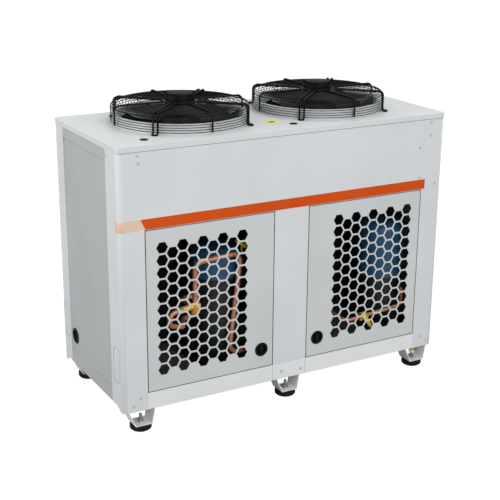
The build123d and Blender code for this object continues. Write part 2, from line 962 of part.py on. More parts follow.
def valve_z():
    """Height of the liquid line at the ball valve."""
    return liquid_z + liquid_rise * (ball_valve_x - liquid_x0) / (liquid_x1 - liquid_x0)


def valve_block():
    """Space that the ball valve's body takes on the liquid line."""
    z = valve_z()
    half = ball_valve_half
    body = along_y(Rectangle(ball_valve_l, 2 * half), liquid_y - half, liquid_y + half)
    return Pos(ball_valve_x, 0, z) * body


def liquid_line():
    """Pipe from the receiver along the front of the right-hand bay, rising to the shell."""
    tank_x, tank_y = receiver_at
    points = [
        (tank_x + receiver_r, tank_y, liquid_z),
        (liquid_x0, tank_y, liquid_z),
        (liquid_x0, liquid_y, liquid_z),
        (liquid_x1, liquid_y, liquid_z + liquid_rise),
        (liquid_x1, liquid_y, liquid_top_z),
        (liquid_x1, shell_front(liquid_x1 - liquid_r, compressor_right), liquid_top_z),
    ]
    return tube(points, liquid_r, liquid_bend) - valve_block()


def ball_valve():
    """Ball valve on the liquid line, with a round boss for the lever."""
    face_y = liquid_y - ball_valve_half
    boss = along_y(RegularPolygon(valve_stem_r, bore_sides), face_y - valve_boss, face_y)
    return valve_block() + Pos(ball_valve_x, 0, valve_z()) * boss


def valve_lever():
    """Quarter-turn lever against the valve's boss, leaning down to the right."""
    face_y = liquid_y - ball_valve_half - valve_boss - cam_gap
    grip = block(-lever_w / 2, lever_l, face_y - lever_t, face_y, -lever_w / 2, lever_w / 2)
    cap = along_y(RegularPolygon(valve_stem_r, bore_sides), face_y - lever_t - valve_boss, face_y - lever_t)
    return Pos(ball_valve_x, 0, valve_z()) * Rot(0, lever_lean, 0) * (grip + cap)


def condenser_coil():
    """Finned block between two end plates, standing on the tray."""
    y1 = body_y - coil_back
    y0 = y1 - coil_t
    z0 = rail_top + tray_t
    z1 = coil_top()
    half = bay_x - coil_end
    core = block(-half + coil_plate_t, half - coil_plate_t, y0 + coil_plate_t, y1 - coil_plate_t, z0, z1)
    for side in (-1, 1):
        inner = side * (half - coil_plate_t)
        outer = side * half
        core += block(min(inner, outer), max(inner, outer), y0, y1, z0, z1)
    return core


PARTS = {
    "corner_post_front_right": front_corner_post(),
    "corner_post_front_left": flipped(front_corner_post()),
    "corner_post_rear_right": rear_corner_post(),
    "corner_post_rear_left": flipped(rear_corner_post()),
    "centre_post_front": centre_post(),
    "base_rail_front": base_rail_front(),
    "base_rail_rear": base_rail_rear(),
    "base_rail_right": base_rail_side(),
    "base_rail_left": flipped(base_rail_side()),
    "base_tray": base_tray(),
    "upper_panel_front": upper_panel(),
    "upper_panel_rear": rear_panel(),
    "side_panel_right": side_panel(),
    "side_panel_left": side_panel_with_exit(),
    "rubber_bushes": rubber_bushes(),
    "compartment_baffle": compartment_baffle(),
    "top_deck": top_deck(),
    "accent_strip": accent_strip(),
    "accent_tail": accent_tail(),
    "door_right": door(),
    "door_left": flipped(door()),
    "door_hardware_right": door_hardware(),
    "door_hardware_left": flipped(door_hardware()),
    "latch_turner_right": latch_turner(),
    "latch_turner_left": flipped(latch_turner()),
    "fan_nozzles": fan_nozzles(),
    "fan_motors": fan_motors(),
    "rubber_feet": rubber_feet(),
    "leg_bolts": leg_bolts(),
    "compressor_shells": compressor_shells(),
    "compressor_mounts": compressor_mounts(),
    "terminal_boxes": terminal_boxes(),
    "liquid_receiver": liquid_receiver(),
    "copper_loop": copper_loop(),
    "angle_valve": angle_valve(),
    "liquid_line": liquid_line(),
    "ball_valve": ball_valve(),
    "valve_lever": valve_lever(),
    "control_box": control_box(),
    "condenser_coil": condenser_coil(),
}

for name, side in (("left", -1), ("right", 1)):
    place = Pos(side * fan_x, fan_y, deck_z)
    PARTS[f"fan_guard_{name}"] = place * fan_guard()
    PARTS[f"fan_impeller_{name}"] = place * fan_impeller()

for name, (x, y) in leg_places().items():
    PARTS[f"leg_bracket_{name}"] = Pos(x, y, 0) * leg_bracket()

for name, solid in PARTS.items():
    export_step(solid, f"parts/{name}.step")
print(len(PARTS), "nodes written")
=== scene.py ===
# %% [markdown]
# # Dressing a refrigeration condensing unit
#
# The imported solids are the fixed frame. This notebook gives each of them a real surface, swaps the round
# parts that the solids keep many-sided for smooth ones, and adds what the solids leave out: fine guard
# wires, screw heads, fins and the patch on the deck. Everything is in metres in the frame of the solids.

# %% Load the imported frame
import math

import bmesh
import bpy
from mathutils import Matrix, Vector


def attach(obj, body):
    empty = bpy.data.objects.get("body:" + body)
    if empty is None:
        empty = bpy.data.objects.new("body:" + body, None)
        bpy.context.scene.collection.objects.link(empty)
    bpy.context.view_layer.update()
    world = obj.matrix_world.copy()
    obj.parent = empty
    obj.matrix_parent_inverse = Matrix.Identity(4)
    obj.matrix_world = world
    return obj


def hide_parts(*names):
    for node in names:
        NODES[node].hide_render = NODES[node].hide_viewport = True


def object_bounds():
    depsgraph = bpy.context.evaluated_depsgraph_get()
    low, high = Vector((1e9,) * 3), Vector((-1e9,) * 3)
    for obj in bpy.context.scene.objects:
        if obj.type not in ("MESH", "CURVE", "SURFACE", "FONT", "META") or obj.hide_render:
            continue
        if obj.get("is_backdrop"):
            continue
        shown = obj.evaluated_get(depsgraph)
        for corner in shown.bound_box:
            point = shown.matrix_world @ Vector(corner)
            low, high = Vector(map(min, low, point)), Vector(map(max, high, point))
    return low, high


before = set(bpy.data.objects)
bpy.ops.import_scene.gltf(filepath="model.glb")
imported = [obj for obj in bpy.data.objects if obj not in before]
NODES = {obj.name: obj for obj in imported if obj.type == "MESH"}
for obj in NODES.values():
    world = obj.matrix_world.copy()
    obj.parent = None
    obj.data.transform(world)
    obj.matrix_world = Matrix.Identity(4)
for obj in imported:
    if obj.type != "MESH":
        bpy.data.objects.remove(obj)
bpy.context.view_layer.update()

# %% [markdown]
# ## Colour and node helpers
#
# Colours are written as the sRGB hex values that a paint chart gives, and turned to linear light here.
# Pattern sizes are written in millimetres of the surface.

# %% Colour and node helpers
def linear(hex_colour, alpha=1.0):
    """Linear colour of an sRGB hex value."""
    parts = [int(hex_colour[i:i + 2], 16) / 255 for i in (1, 3, 5)]
    light = [c / 12.92 if c <= 0.04045 else ((c + 0.055) / 1.055) ** 2.4 for c in parts]
    return (*light, alpha)


def per_mm(size):
    """Texture scale at which one feature is about this many millimetres."""
    return 1000.0 / size


def add_node(tree, kind, inputs=None, **settings):
    """New shader node with its settings and unlinked input values."""
    node = tree.nodes.new(kind)
    for key, value in settings.items():
        setattr(node, key, value)
    for key, value in (inputs or {}).items():
        node.inputs[key].default_value = value
    return node


def new_surface(name, hex_colour, roughness, metallic=0.0, specular=0.5, coat=0.0):
    """Material with its shader's constant values set on the shader itself."""
    material = bpy.data.materials.new(name)
    material.use_nodes = True
    tree = material.node_tree
    shader = tree.nodes["Principled BSDF"]
    shader.inputs["Base Color"].default_value = linear(hex_colour)
    shader.inputs["Roughness"].default_value = roughness
    shader.inputs["Metallic"].default_value = metallic
    shader.inputs["Specular IOR Level"].default_value = specular
    shader.inputs["Coat Weight"].default_value = coat
    material.diffuse_color = linear(hex_colour)
    return material, tree, shader


def surface_point(tree):
    """Coordinates of the surface point in metres."""
    return add_node(tree, "ShaderNodeTexCoord").outputs["Object"]


def noise(tree, point, size, detail=3.0, roughness=0.5):
    """Noise whose features are this many millimetres."""
    values = {"Scale": per_mm(size), "Detail": detail, "Roughness": roughness}
    node = add_node(tree, "ShaderNodeTexNoise", values)
    tree.links.new(point, node.inputs["Vector"])
    return node.outputs["Fac"]


def ramp(tree, value, low, high, low_hex, high_hex):
    """Colour that goes from one hex value to another as a number goes from low to high."""
    node = add_node(tree, "ShaderNodeValToRGB")
    node.color_ramp.elements[0].position = low
    node.color_ramp.elements[1].position = high
    node.color_ramp.elements[0].color = linear(low_hex)
    node.color_ramp.elements[1].color = linear(high_hex)
    tree.links.new(value, node.inputs["Fac"])
    return node.outputs["Color"]


def between(tree, value, low, high):
    """Number from 0 to 1 spread over low to high."""
    node = add_node(tree, "ShaderNodeMapRange", {"To Min": low, "To Max": high})
    tree.links.new(value, node.inputs["Value"])
    return node.outputs["Result"]


def bump(tree, shader, height, distance_mm, strength):
    """Relief of this many millimetres under the shader."""
    node = add_node(tree, "ShaderNodeBump", {"Strength": strength, "Distance": distance_mm / 1000})
    tree.links.new(height, node.inputs["Height"])
    tree.links.new(node.outputs["Normal"], shader.inputs["Normal"])


print("helpers ready, one mm pattern has scale", per_mm(1))

# %% [markdown]
# ## Paint, enamel and rubber
#
# Powder coat is a hard plastic skin: a fine orange-peel relief about a millimetre across, a satin gloss
# that wanders slightly, and a colour that is never quite even over a large sheet. Within the skin of the
# cabinet the same sheet is coloured near black on its inner side, as painted shade of the dark inside.

# %% Paint, enamel and rubber
ORANGE_PEEL = 1.3
GLOSS_PATCH = 45
SHEET_DRIFT = 320
INSIDE_SHADE_GRAIN = 6
WITHIN_SKIN = (("X", 0.7375), ("Y", 0.3195))


def inside_share(tree, point):
    """1 within the cabinet, behind its skin and under its deck, where shade is painted, and 0 on the skin
    itself.
    """
    share = None
    places = add_node(tree, "ShaderNodeSeparateXYZ")
    tree.links.new(point, places.inputs["Vector"])
    for axis, limit in WITHIN_SKIN:
        size = add_node(tree, "ShaderNodeMath", operation="ABSOLUTE")
        tree.links.new(places.outputs[axis], size.inputs[0])
        within = add_node(tree, "ShaderNodeMath", {1: limit}, operation="LESS_THAN")
        tree.links.new(size.outputs[0], within.inputs[0])
        if share is None:
            share = within.outputs[0]
            continue
        both = add_node(tree, "ShaderNodeMath", operation="MULTIPLY")
        tree.links.new(share, both.inputs[0])
        tree.links.new(within.outputs[0], both.inputs[1])
        share = both.outputs[0]
    return share


def powder_coat(name, hex_colour, darker_hex, roughness=0.42, specular=0.45, shaded_inside=False):
    """Satin powder coat on sheet steel, coloured near black on its inner side as painted shade if asked."""
    material, tree, shader = new_surface(name, hex_colour, roughness, specular=specular)
    point = surface_point(tree)
    drift = noise(tree, point, SHEET_DRIFT, detail=2)
    colour = ramp(tree, drift, 0.25, 0.62, darker_hex, hex_colour)
    if shaded_inside:
        # Painted shade: within the skin the sheet is coloured near black, with a faint mottle.
        shade_mottle = noise(tree, point, INSIDE_SHADE_GRAIN, detail=4)
        inside_shade = ramp(tree, shade_mottle, 0.3, 0.7, "#131516", "#1C1F20")
        mix = add_node(tree, "ShaderNodeMix", data_type="RGBA")
        tree.links.new(inside_share(tree, point), mix.inputs["Factor"])
        tree.links.new(colour, mix.inputs[6])
        tree.links.new(inside_shade, mix.inputs[7])
        colour = mix.outputs[2]
    tree.links.new(colour, shader.inputs["Base Color"])
    gloss = noise(tree, point, GLOSS_PATCH, detail=4)
    tree.links.new(between(tree, gloss, roughness - 0.06, roughness + 0.08), shader.inputs["Roughness"])
    bump(tree, shader, noise(tree, point, ORANGE_PEEL, detail=2), 0.06, 0.35)
    return material


def enamel(name, hex_colour, darker_hex, roughness, coat=0.15, specular=0.5):
    """Thick enamel, a little uneven, as on shells and cast parts."""
    material, tree, shader = new_surface(name, hex_colour, roughness, specular=specular, coat=coat)
    point = surface_point(tree)
    drift = noise(tree, point, 60, detail=4)
    tree.links.new(ramp(tree, drift, 0.3, 0.7, darker_hex, hex_colour), shader.inputs["Base Color"])
    bump(tree, shader, noise(tree, point, 4, detail=3), 0.12, 0.3)
    return material


def rubber(name, hex_colour, dusty_hex):
    """Moulded rubber with a bloom of dust."""
    material, tree, shader = new_surface(name, hex_colour, 0.78, specular=0.3)
    point = surface_point(tree)
    bloom = noise(tree, point, 14, detail=5)
    tree.links.new(ramp(tree, bloom, 0.4, 0.75, hex_colour, dusty_hex), shader.inputs["Base Color"])
    bump(tree, shader, noise(tree, point, 1.0, detail=3), 0.1, 0.4)
    return material


def moulded_plastic(name, hex_colour, paler_hex, roughness, specular=0.5):
    """Fine-textured moulded plastic."""
    material, tree, shader = new_surface(name, hex_colour, roughness, specular=specular)
    point = surface_point(tree)
    tone = noise(tree, point, 9, detail=3)
    tree.links.new(ramp(tree, tone, 0.35, 0.8, hex_colour, paler_hex), shader.inputs["Base Color"])
    bump(tree, shader, noise(tree, point, 0.6, detail=2), 0.05, 0.5)
    return material


CABINET = powder_coat("powder coat, light grey", "#DCDFE0", "#D5D9DA")
# The leg brackets get a near-white copy of the grey as painted light, lifting the shade under the cabinet.
LEG_PAINTED_LIGHT = powder_coat("powder coat, leg grey lightened as painted light", "#FAFBFC", "#F4F6F7")
POST = powder_coat("powder coat, post grey", "#DEE1E3", "#D8DBDD", shaded_inside=True)
DOOR = powder_coat("powder coat, door grey", "#D2D6D6", "#CACFCF")
# The front and rear rails get a lighter copy of the grey as painted light, lifting the shade low on the
# cabinet.
RAIL_PAINTED_LIGHT = powder_coat("powder coat, rail grey lightened as painted light", "#EDEFF1", "#E5E8EA", shaded_inside=True)
# The side panels and side rails get a darker copy of the grey as painted shade of the sides.
SIDE_PAINTED_SHADE = powder_coat("powder coat, side grey darkened as painted shade", "#B9BDBD", "#B2B7B7", shaded_inside=True)
RING = powder_coat("powder coat, air ring grey", "#D2D7D8", "#C8CECF", roughness=0.36)
ORANGE = powder_coat("powder coat, orange", "#DA5206", "#D04A04", roughness=0.45, specular=0.2)
PEACH = powder_coat("powder coat, pale orange", "#EBC9B2", "#E5BEA4", specular=0.3)
BLACK_COAT = powder_coat("powder coat, black wire", "#050606", "#030404", roughness=0.5, specular=0.18)
BOLT_HEAD = powder_coat("powder coat, screw heads", "#C6CBCE", "#BCC2C5")
SEAM_AND_LIP_SHADOW = powder_coat("dark seams and painted lip shadow", "#7C8285", "#70767A", roughness=0.6, specular=0.2)
BLACK_ENAMEL = enamel("black motor enamel", "#060809", "#030505", 0.5, coat=0.0, specular=0.12)
BLADE_PAINT = enamel("black blade paint", "#070A0A", "#040606", 0.36, coat=0.0, specular=0.2)
HUB_PAINT = enamel("black hub paint", "#101415", "#0A0D0E", 0.4, coat=0.0, specular=0.42)
LINER = rubber("dark sound liner", "#0E1011", "#17191A")
BLUE_ENAMEL = enamel("blue shell enamel", "#2F5F86", "#285274", 0.4, coat=0.1)
DARK_ENAMEL = enamel("dark shell enamel", "#15191C", "#0E1214", 0.45)
RUBBER = rubber("moulded rubber", "#0D1012", "#1E2224")
BLACK_PLASTIC = moulded_plastic("black moulded plastic", "#0C0F10", "#131718", 0.45, specular=0.2)
GREY_PLASTIC = moulded_plastic("grey moulded plastic", "#3A3F42", "#454A4D", 0.5)
YELLOW_PLASTIC = moulded_plastic("yellow dipped vinyl", "#FFE53A", "#FFEE66", 0.32)
GREEN_CAP = moulded_plastic("yellow-green moulded cap", "#D0D43C", "#DCE058", 0.4)
print("painted and moulded materials:", len(bpy.data.materials))

# %% [markdown]
# ## Metals
#
# Copper tube, brass and plated steel dull in patches, galvanised sheet shows its spangle, and fin stock is
# bright foil.

# %% Metals
TARNISH_PATCH = 38
SPANGLE = 9
RIPPLE = 110


def dulled_metal(name, hex_colour, tarnish_hex, roughness, metallic=1.0):
    """Metal tube or casting with patches of tarnish."""
    material, tree, shader = new_surface(name, hex_colour, roughness, metallic=metallic)
    point = surface_point(tree)
    patches = noise(tree, point, TARNISH_PATCH, detail=6, roughness=0.62)
    tree.links.new(ramp(tree, patches, 0.42, 0.7, hex_colour, tarnish_hex), shader.inputs["Base Color"])
    tree.links.new(between(tree, patches, roughness - 0.08, roughness + 0.16), shader.inputs["Roughness"])
    bump(tree, shader, noise(tree, point, 3, detail=2), 0.05, 0.4)
    return material


def galvanised(name, hex_colour, darker_hex):
    """Hot-dipped sheet with its spangle."""
    material, tree, shader = new_surface(name, hex_colour, 0.45, metallic=0.85)
    point = surface_point(tree)
    spangle = add_node(tree, "ShaderNodeTexVoronoi", {"Scale": per_mm(SPANGLE), "Randomness": 1.0})
    tree.links.new(point, spangle.inputs["Vector"])
    grey = add_node(tree, "ShaderNodeRGBToBW")
    tree.links.new(spangle.outputs["Color"], grey.inputs["Color"])
    tone = grey.outputs["Val"]
    tree.links.new(ramp(tree, tone, 0.1, 0.9, darker_hex, hex_colour), shader.inputs["Base Color"])
    tree.links.new(between(tree, tone, 0.36, 0.55), shader.inputs["Roughness"])
    return material


def fin_stock(name, hex_colour, darker_hex):
    """Thin foil with faint rows where the tubes run through it."""
    material, tree, shader = new_surface(name, hex_colour, 0.38, metallic=0.9)
    point = surface_point(tree)
    ripple = add_node(tree, "ShaderNodeTexWave", {"Scale": per_mm(RIPPLE), "Distortion": 0.0},
                      bands_direction="Z")
    tree.links.new(point, ripple.inputs["Vector"])
    tone = ripple.outputs["Fac"]
    tree.links.new(ramp(tree, tone, 0.2, 0.8, darker_hex, hex_colour), shader.inputs["Base Color"])
    bump(tree, shader, tone, 0.3, 0.12)
    return material


COPPER = dulled_metal("copper tube", "#F6AE88", "#CC7854", 0.36, metallic=0.5)
BRASS = dulled_metal("brass body", "#FFC456", "#DFA23E", 0.34, metallic=0.35)
NICKEL = dulled_metal("nickelled nut", "#DADCDD", "#B9BCBE", 0.3, metallic=0.6)
PASSIVATED = dulled_metal("yellow-passivated steel", "#FFF0CC", "#F3DCA2", 0.42, metallic=0.1)
ZINC = dulled_metal("zinc-plated steel", "#C6C9C8", "#979C9C", 0.34)
GALVANISED = galvanised("galvanised sheet", "#AEB3B4", "#8B9192")
FINS = fin_stock("aluminium fin stock", "#C9CDCF", "#BCC1C3")
print("materials:", len(bpy.data.materials))

# %% [markdown]
# ## Mesh helpers
#
# Every new piece is made in a bmesh in the frame's own metres, so it needs no placing. Edges sharper than
# a limit stay crisp, and the rest shade smooth. FACE_ON lays an upright axis towards the front, and SIDE_ON
# towards the left side.

# %% Mesh helpers
MM = 0.001
FACE_ON = Matrix.Rotation(math.radians(90), 4, "X")
SIDE_ON = Matrix.Rotation(math.radians(-90), 4, "Y")


def lathe(mesh, profile, centre, turn=None, segments=64):
    """Turn a closed or open profile of (radius, height) in millimetres about an upright axis at a point.
    turn is a rotation that lays the axis elsewhere."""
    turn = turn or Matrix.Identity(3)
    centre = Vector(centre)
    rings = []
    for radius, height in profile:
        if radius < 1e-6:
            rings.append([mesh.verts.new(centre + turn @ Vector((0, 0, height * MM)))])
            continue
        ring = []
        for step in range(segments):
            angle = 2 * math.pi * step / segments
            spot = Vector((radius * math.cos(angle), radius * math.sin(angle), height)) * MM
            ring.append(mesh.verts.new(centre + turn @ spot))
        rings.append(ring)
    for below, above in zip(rings, rings[1:]):
        for step in range(segments):
            after = (step + 1) % segments
            corners = []
            for ring, place in ((below, step), (below, after), (above, after), (above, step)):
                corner = ring[place if len(ring) > 1 else 0]
                if corner not in corners:
                    corners.append(corner)
            if len(corners) > 2:
                mesh.faces.new(corners)


def softened(points, bend, steps=6):
    """Points of a path in millimetres with each corner rounded by an arc."""
    points = [Vector(p) for p in points]
    path = [points[0]]
    for before, corner, after in zip(points, points[1:], points[2:]):
        back = (before - corner).normalized()
        ahead = (after - corner).normalized()
        half = back.angle(ahead) / 2
        if abs(half - math.pi / 2) < 1e-3:
            path.append(corner)
            continue
        reach = min(bend / math.tan(half), (before - corner).length * 0.49, (after - corner).length * 0.49)
        radius = reach * math.tan(half)
        middle = corner + (back + ahead).normalized() * (radius / math.sin(half))
        start = corner + back * reach - middle
        end = corner + ahead * reach - middle
        sweep = start.angle(end)
        for step in range(steps + 1):
            share = step / steps
            spot = (start * math.sin((1 - share) * sweep) + end * math.sin(share * sweep)) / math.sin(sweep)
            path.append(middle + spot)
    path.append(points[-1])
    return path


def rod(mesh, points, radius, sides=10, closed=False):
    """Round rod along points in millimetres, with flat ends unless it is closed."""
    points = [Vector(p) for p in points]
    count = len(points)
    directions = []
    for i in range(count):
        before = points[i - 1] if closed or i else points[i]
        after = points[(i + 1) % count] if closed or i < count - 1 else points[i]
        directions.append((after - before).normalized())
    across = directions[0].orthogonal().normalized()
    rings = []
    for i in range(count):
        across = (across - directions[i] * across.dot(directions[i])).normalized()
        other = directions[i].cross(across)
        ring = []
        for step in range(sides):
            angle = 2 * math.pi * step / sides
            spot = points[i] + (across * math.cos(angle) + other * math.sin(angle)) * radius
            ring.append(mesh.verts.new(spot * MM))
        rings.append(ring)
    spans = list(zip(rings, rings[1:]))
    if closed:
        twist = min(range(sides), key=lambda s: (rings[0][s].co - rings[-1][0].co).length)
        spans.append((rings[-1], rings[0][twist:] + rings[0][:twist]))
    for first, second in spans:
        for step in range(sides):
            after = (step + 1) % sides
            mesh.faces.new((first[step], first[after], second[after], second[step]))
    if not closed:
        mesh.faces.new(rings[0][::-1])
        mesh.faces.new(rings[-1])


def hoop(mesh, radius, height, wire, centre, segments=96, sides=6):
    """Round wire bent to a circle about an upright axis, with sizes in millimetres."""
    cx, cy, cz = centre
    angles = [2 * math.pi * step / segments for step in range(segments)]
    circle = [(cx + radius * math.cos(a), cy + radius * math.sin(a), cz + height) for a in angles]
    rod(mesh, circle, wire, sides, closed=True)


def slab(mesh, x0, x1, y0, y1, z0, z1, turn=None, about=(0, 0, 0)):
    """Box between two corners in millimetres, turned about a point if asked."""
    corners = [Vector((x, y, z)) for x in (x0, x1) for y in (y0, y1) for z in (z0, z1)]
    if turn:
        about = Vector(about)
        corners = [about + turn @ (c - about) for c in corners]
    v = [mesh.verts.new(c * MM) for c in corners]
    for face in ((0, 1, 3, 2), (4, 6, 7, 5), (0, 4, 5, 1), (2, 3, 7, 6), (0, 2, 6, 4), (1, 5, 7, 3)):
        mesh.faces.new([v[i] for i in face])


def prism(mesh, points, z0, z1, place=None):
    """Closed outline of (x, y) in millimetres raised between two heights and set in place."""
    place = place or Matrix.Identity(4)
    low = [mesh.verts.new((place @ Vector((x, y, z0))) * MM) for x, y in points]
    high = [mesh.verts.new((place @ Vector((x, y, z1))) * MM) for x, y in points]
    mesh.faces.new(low[::-1])
    mesh.faces.new(high)
    for i in range(len(points)):
        j = (i + 1) % len(points)
        mesh.faces.new((low[i], low[j], high[j], high[i]))


def circle_points(radius, count, start=0.0):
    """Corners of a regular outline in millimetres."""
    angles = [start + 2 * math.pi * i / count for i in range(count)]
    return [(radius * math.cos(a), radius * math.sin(a)) for a in angles]


def piece(name, mesh, material, body="cabinet", replaces=(), crisp=38, bevel=0.0):
    """Turn a bmesh into a piece that rides a body, standing for the nodes that it replaces."""
    bmesh.ops.recalc_face_normals(mesh, faces=mesh.faces)
    limit = math.radians(crisp)
    for edge in mesh.edges:
        edge.smooth = len(edge.link_faces) == 2 and edge.calc_face_angle(0) < limit
    for face in mesh.faces:
        face.smooth = True
    data = bpy.data.meshes.new(name)
    mesh.to_mesh(data)
    mesh.free()
    data.materials.append(material)
    made = bpy.data.objects.new(name, data)
    bpy.context.scene.collection.objects.link(made)
    if bevel:
        soften = made.modifiers.new("edge", "BEVEL")
        soften.width = bevel * MM
        soften.segments = 2
        soften.limit_method = "ANGLE"
    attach(made, body)
    if replaces:
        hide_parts(*replaces)
    return made


print("mesh helpers ready")

# %% [markdown]
# ## Sizes shared with the solids
#
# They repeat the named values of the model, in millimetres.

# %% Sizes shared with the solids
DECK = 1150.0
FRONT = -322.7
LIP_FOOT = 1130.0
SIDE_X = 747.7
FANS = {"left": (-325.0, 22.0, DECK), "right": (325.0, 22.0, DECK)}
GUARD_R = 283.0
GUARD_H = 88.0
RING_FOOT_R = 272.5
RING_TOP_R = 268.5
RING_H = 41.0
THROAT_R = 253.0
THROAT_DROP = 45.0
MOTOR_R = 62.0
MOTOR_FOOT = 30.0
MOTOR_TOP = 117.0
LATCH_X = 135.0
LATCH_Z = 247.0
HINGE_X = 631.0
HINGE_Y = -314.7
HINGE_PINS = [(155.0, 169.0), (825.0, 839.0)]
RAIL_FOOT = 96.0
RAIL_TOP = 165.0
CENTRE_HALF = 79.0
EXIT_BORE = (-741.7, 194.0, 237.0)
GROMMET_X = -272.0
GROMMET_Y = -254.0
LEG_X = 668.0
LEG_Y = 280.2
STUD_SHIFT = 8.5
BACK_RUN_Y = -10.0
print("fans at", FANS)

# %% [markdown]
# ## Surfaces of the solids that stay
#
# Sheet-metal nodes keep their own mesh. A weld joins the faces' shared corners and a small bevel gives
# the folded edges the highlight that real ones catch.

# %% Surfaces of the solids that stay
def dress(names, material, bevel=0.6):
    """Give nodes a surface and soften their edges."""
    for name in names:
        node = NODES[name]
        node.data.materials.clear()
        node.data.materials.append(material)
        if bevel:
            weld = node.modifiers.new("weld", "WELD")
            weld.merge_threshold = 0.02 * MM
            soften = node.modifiers.new("edge", "BEVEL")
            soften.width = bevel * MM
            soften.segments = 2
            soften.limit_method = "ANGLE"
            soften.angle_limit = math.radians(40)
            soften.harden_normals = True
    return len(names)


count = dress(["corner_post_front_right", "corner_post_front_left", "corner_post_rear_right",
               "corner_post_rear_left", "centre_post_front", "upper_panel_front", "upper_panel_rear"], POST)
count += dress(["top_deck"], CABINET)
count += dress(["base_rail_front", "base_rail_rear"], RAIL_PAINTED_LIGHT)
count += dress(["side_panel_left", "side_panel_right", "base_rail_left", "base_rail_right"], SIDE_PAINTED_SHADE)
count += dress(["door_left", "door_right"], DOOR, bevel=0.0)
count += dress(["accent_strip"], ORANGE, bevel=0.3)
count += dress(["accent_tail"], PEACH, bevel=0.3)
count += dress([n for n in NODES if n.startswith("leg_bracket")], LEG_PAINTED_LIGHT, bevel=0.5)
count += dress(["base_tray"], GALVANISED, bevel=0.0)
count += dress(["compartment_baffle"], LINER, bevel=0.0)
count += dress(["control_box"], BLACK_PLASTIC, bevel=1.5)
count += dress(["terminal_boxes"], GREY_PLASTIC, bevel=1.5)
count += dress(["compressor_mounts"], RUBBER, bevel=1.0)
count += dress(["ball_valve"], BRASS, bevel=1.0)
count += dress(["condenser_coil"], FINS, bevel=0.0)
print("nodes dressed:", count)

# %% [markdown]
# ## Fan guards
#
# A guard is spot-welded round wire: four pairs of struts that end in looped feet on the deck, four single
# struts between them, a close set of rings on top and another down the side, outside the air ring.

# %% Fan guards
STRUT = 3.8
FINE = 1.7
SIDE_FINE = 1.4
PAIR = 9.5
FOOT_R = 303.0
EYE_R = MOTOR_R + 6
STRUT_FOOT = 8
PAIR_BEND = 18
STRUT_BEND = 22
SIDE_RINGS = 7
SIDE_START = 9.5
SIDE_PITCH = 9.6
TOP_PITCH = 11.5
CORNER_R = 15.0
CORNER_LIFTS = (28, 55, 82)


def strut_points():
    """One strut's path from the motor out over the rim and down to just above the deck."""
    top = GUARD_H - STRUT
    return [(EYE_R, 0, top), (GUARD_R, 0, top), (GUARD_R, 0, STRUT_FOOT)]


def paired_points():
    """A pair of struts as one wire, joined by the loop that is screwed to the deck."""
    top = GUARD_H - STRUT
    out = [(EYE_R, PAIR, top), (GUARD_R, PAIR, top), (GUARD_R, PAIR, STRUT), (FOOT_R, PAIR, STRUT)]
    return out + [(x, -y, z) for x, y, z in reversed(out)]


def guard(side):
    """All the wires of one guard in one mesh."""
    cx, cy, cz = FANS[side]
    mesh = bmesh.new()
    for turn in range(4):
        for start, points, bend in ((45, paired_points(), PAIR_BEND), (0, strut_points(), STRUT_BEND)):
            spin = Matrix.Rotation(math.radians(start + 90 * turn), 3, "Z")
            path = softened(points, bend)
            rod(mesh, [spin @ p + Vector((cx, cy, cz)) for p in path], STRUT, 8)
    side_r = GUARD_R - STRUT - SIDE_FINE
    for level in range(SIDE_RINGS):
        hoop(mesh, side_r, SIDE_START + SIDE_PITCH * level, SIDE_FINE, FANS[side])
    top = GUARD_H - 2 * STRUT - FINE
    for lift in CORNER_LIFTS:
        angle = math.radians(lift)
        inward = side_r - CORNER_R * (1 - math.cos(angle))
        hoop(mesh, inward, top - CORNER_R * (1 - math.sin(angle)), FINE, FANS[side])
    radius = side_r - CORNER_R - TOP_PITCH
    while radius > EYE_R + 10:
        hoop(mesh, radius, top, FINE, FANS[side])
        radius -= TOP_PITCH
    hoop(mesh, EYE_R + 3, GUARD_H - STRUT, STRUT, FANS[side])
    return piece(f"guard_wires_{side}", mesh, BLACK_COAT, replaces=[f"fan_guard_{side}"])


for side in FANS:
    made = guard(side)
    print(made.name, len(made.data.polygons), "faces")

# %% [markdown]
# ## Air rings
#
# Each ring is drawn from one sheet: a wall that leans in, a rounded lip, and a throat that hangs below
# the deck.

# %% Air rings
RING_PROFILE = [
    (RING_FOOT_R, 0.0), (RING_FOOT_R - 0.6, 4.0), (RING_TOP_R + 0.6, RING_H - 9),
    (RING_TOP_R - 1.2, RING_H - 4), (RING_TOP_R - 4.2, RING_H - 1), (RING_TOP_R - 8.0, RING_H),
    (RING_TOP_R - 11.5, RING_H - 1.4), (THROAT_R + 1.2, RING_H - 5), (THROAT_R, RING_H - 11),
    (THROAT_R, -THROAT_DROP), (THROAT_R + 2.0, -THROAT_DROP), (THROAT_R + 2.0, RING_H - 12),
    (RING_TOP_R - 8.0, RING_H - 2.5), (RING_TOP_R - 2.0, RING_H - 8), (RING_FOOT_R - 2.0, 0.0),
]
mesh = bmesh.new()
for centre in FANS.values():
    lathe(mesh, RING_PROFILE + RING_PROFILE[:1], Vector(centre) * MM, segments=120)
bmesh.ops.remove_doubles(mesh, verts=mesh.verts, dist=1e-6)
made = piece("air_rings", mesh, RING, replaces=["fan_nozzles"])
print(made.name, len(made.data.polygons), "faces")

# %% [markdown]
# ## Motors
#
# The outer-rotor motor hangs from the guard: a domed can with a flange at the guard's eye, cooling ribs
# and a cable gland at its edge.

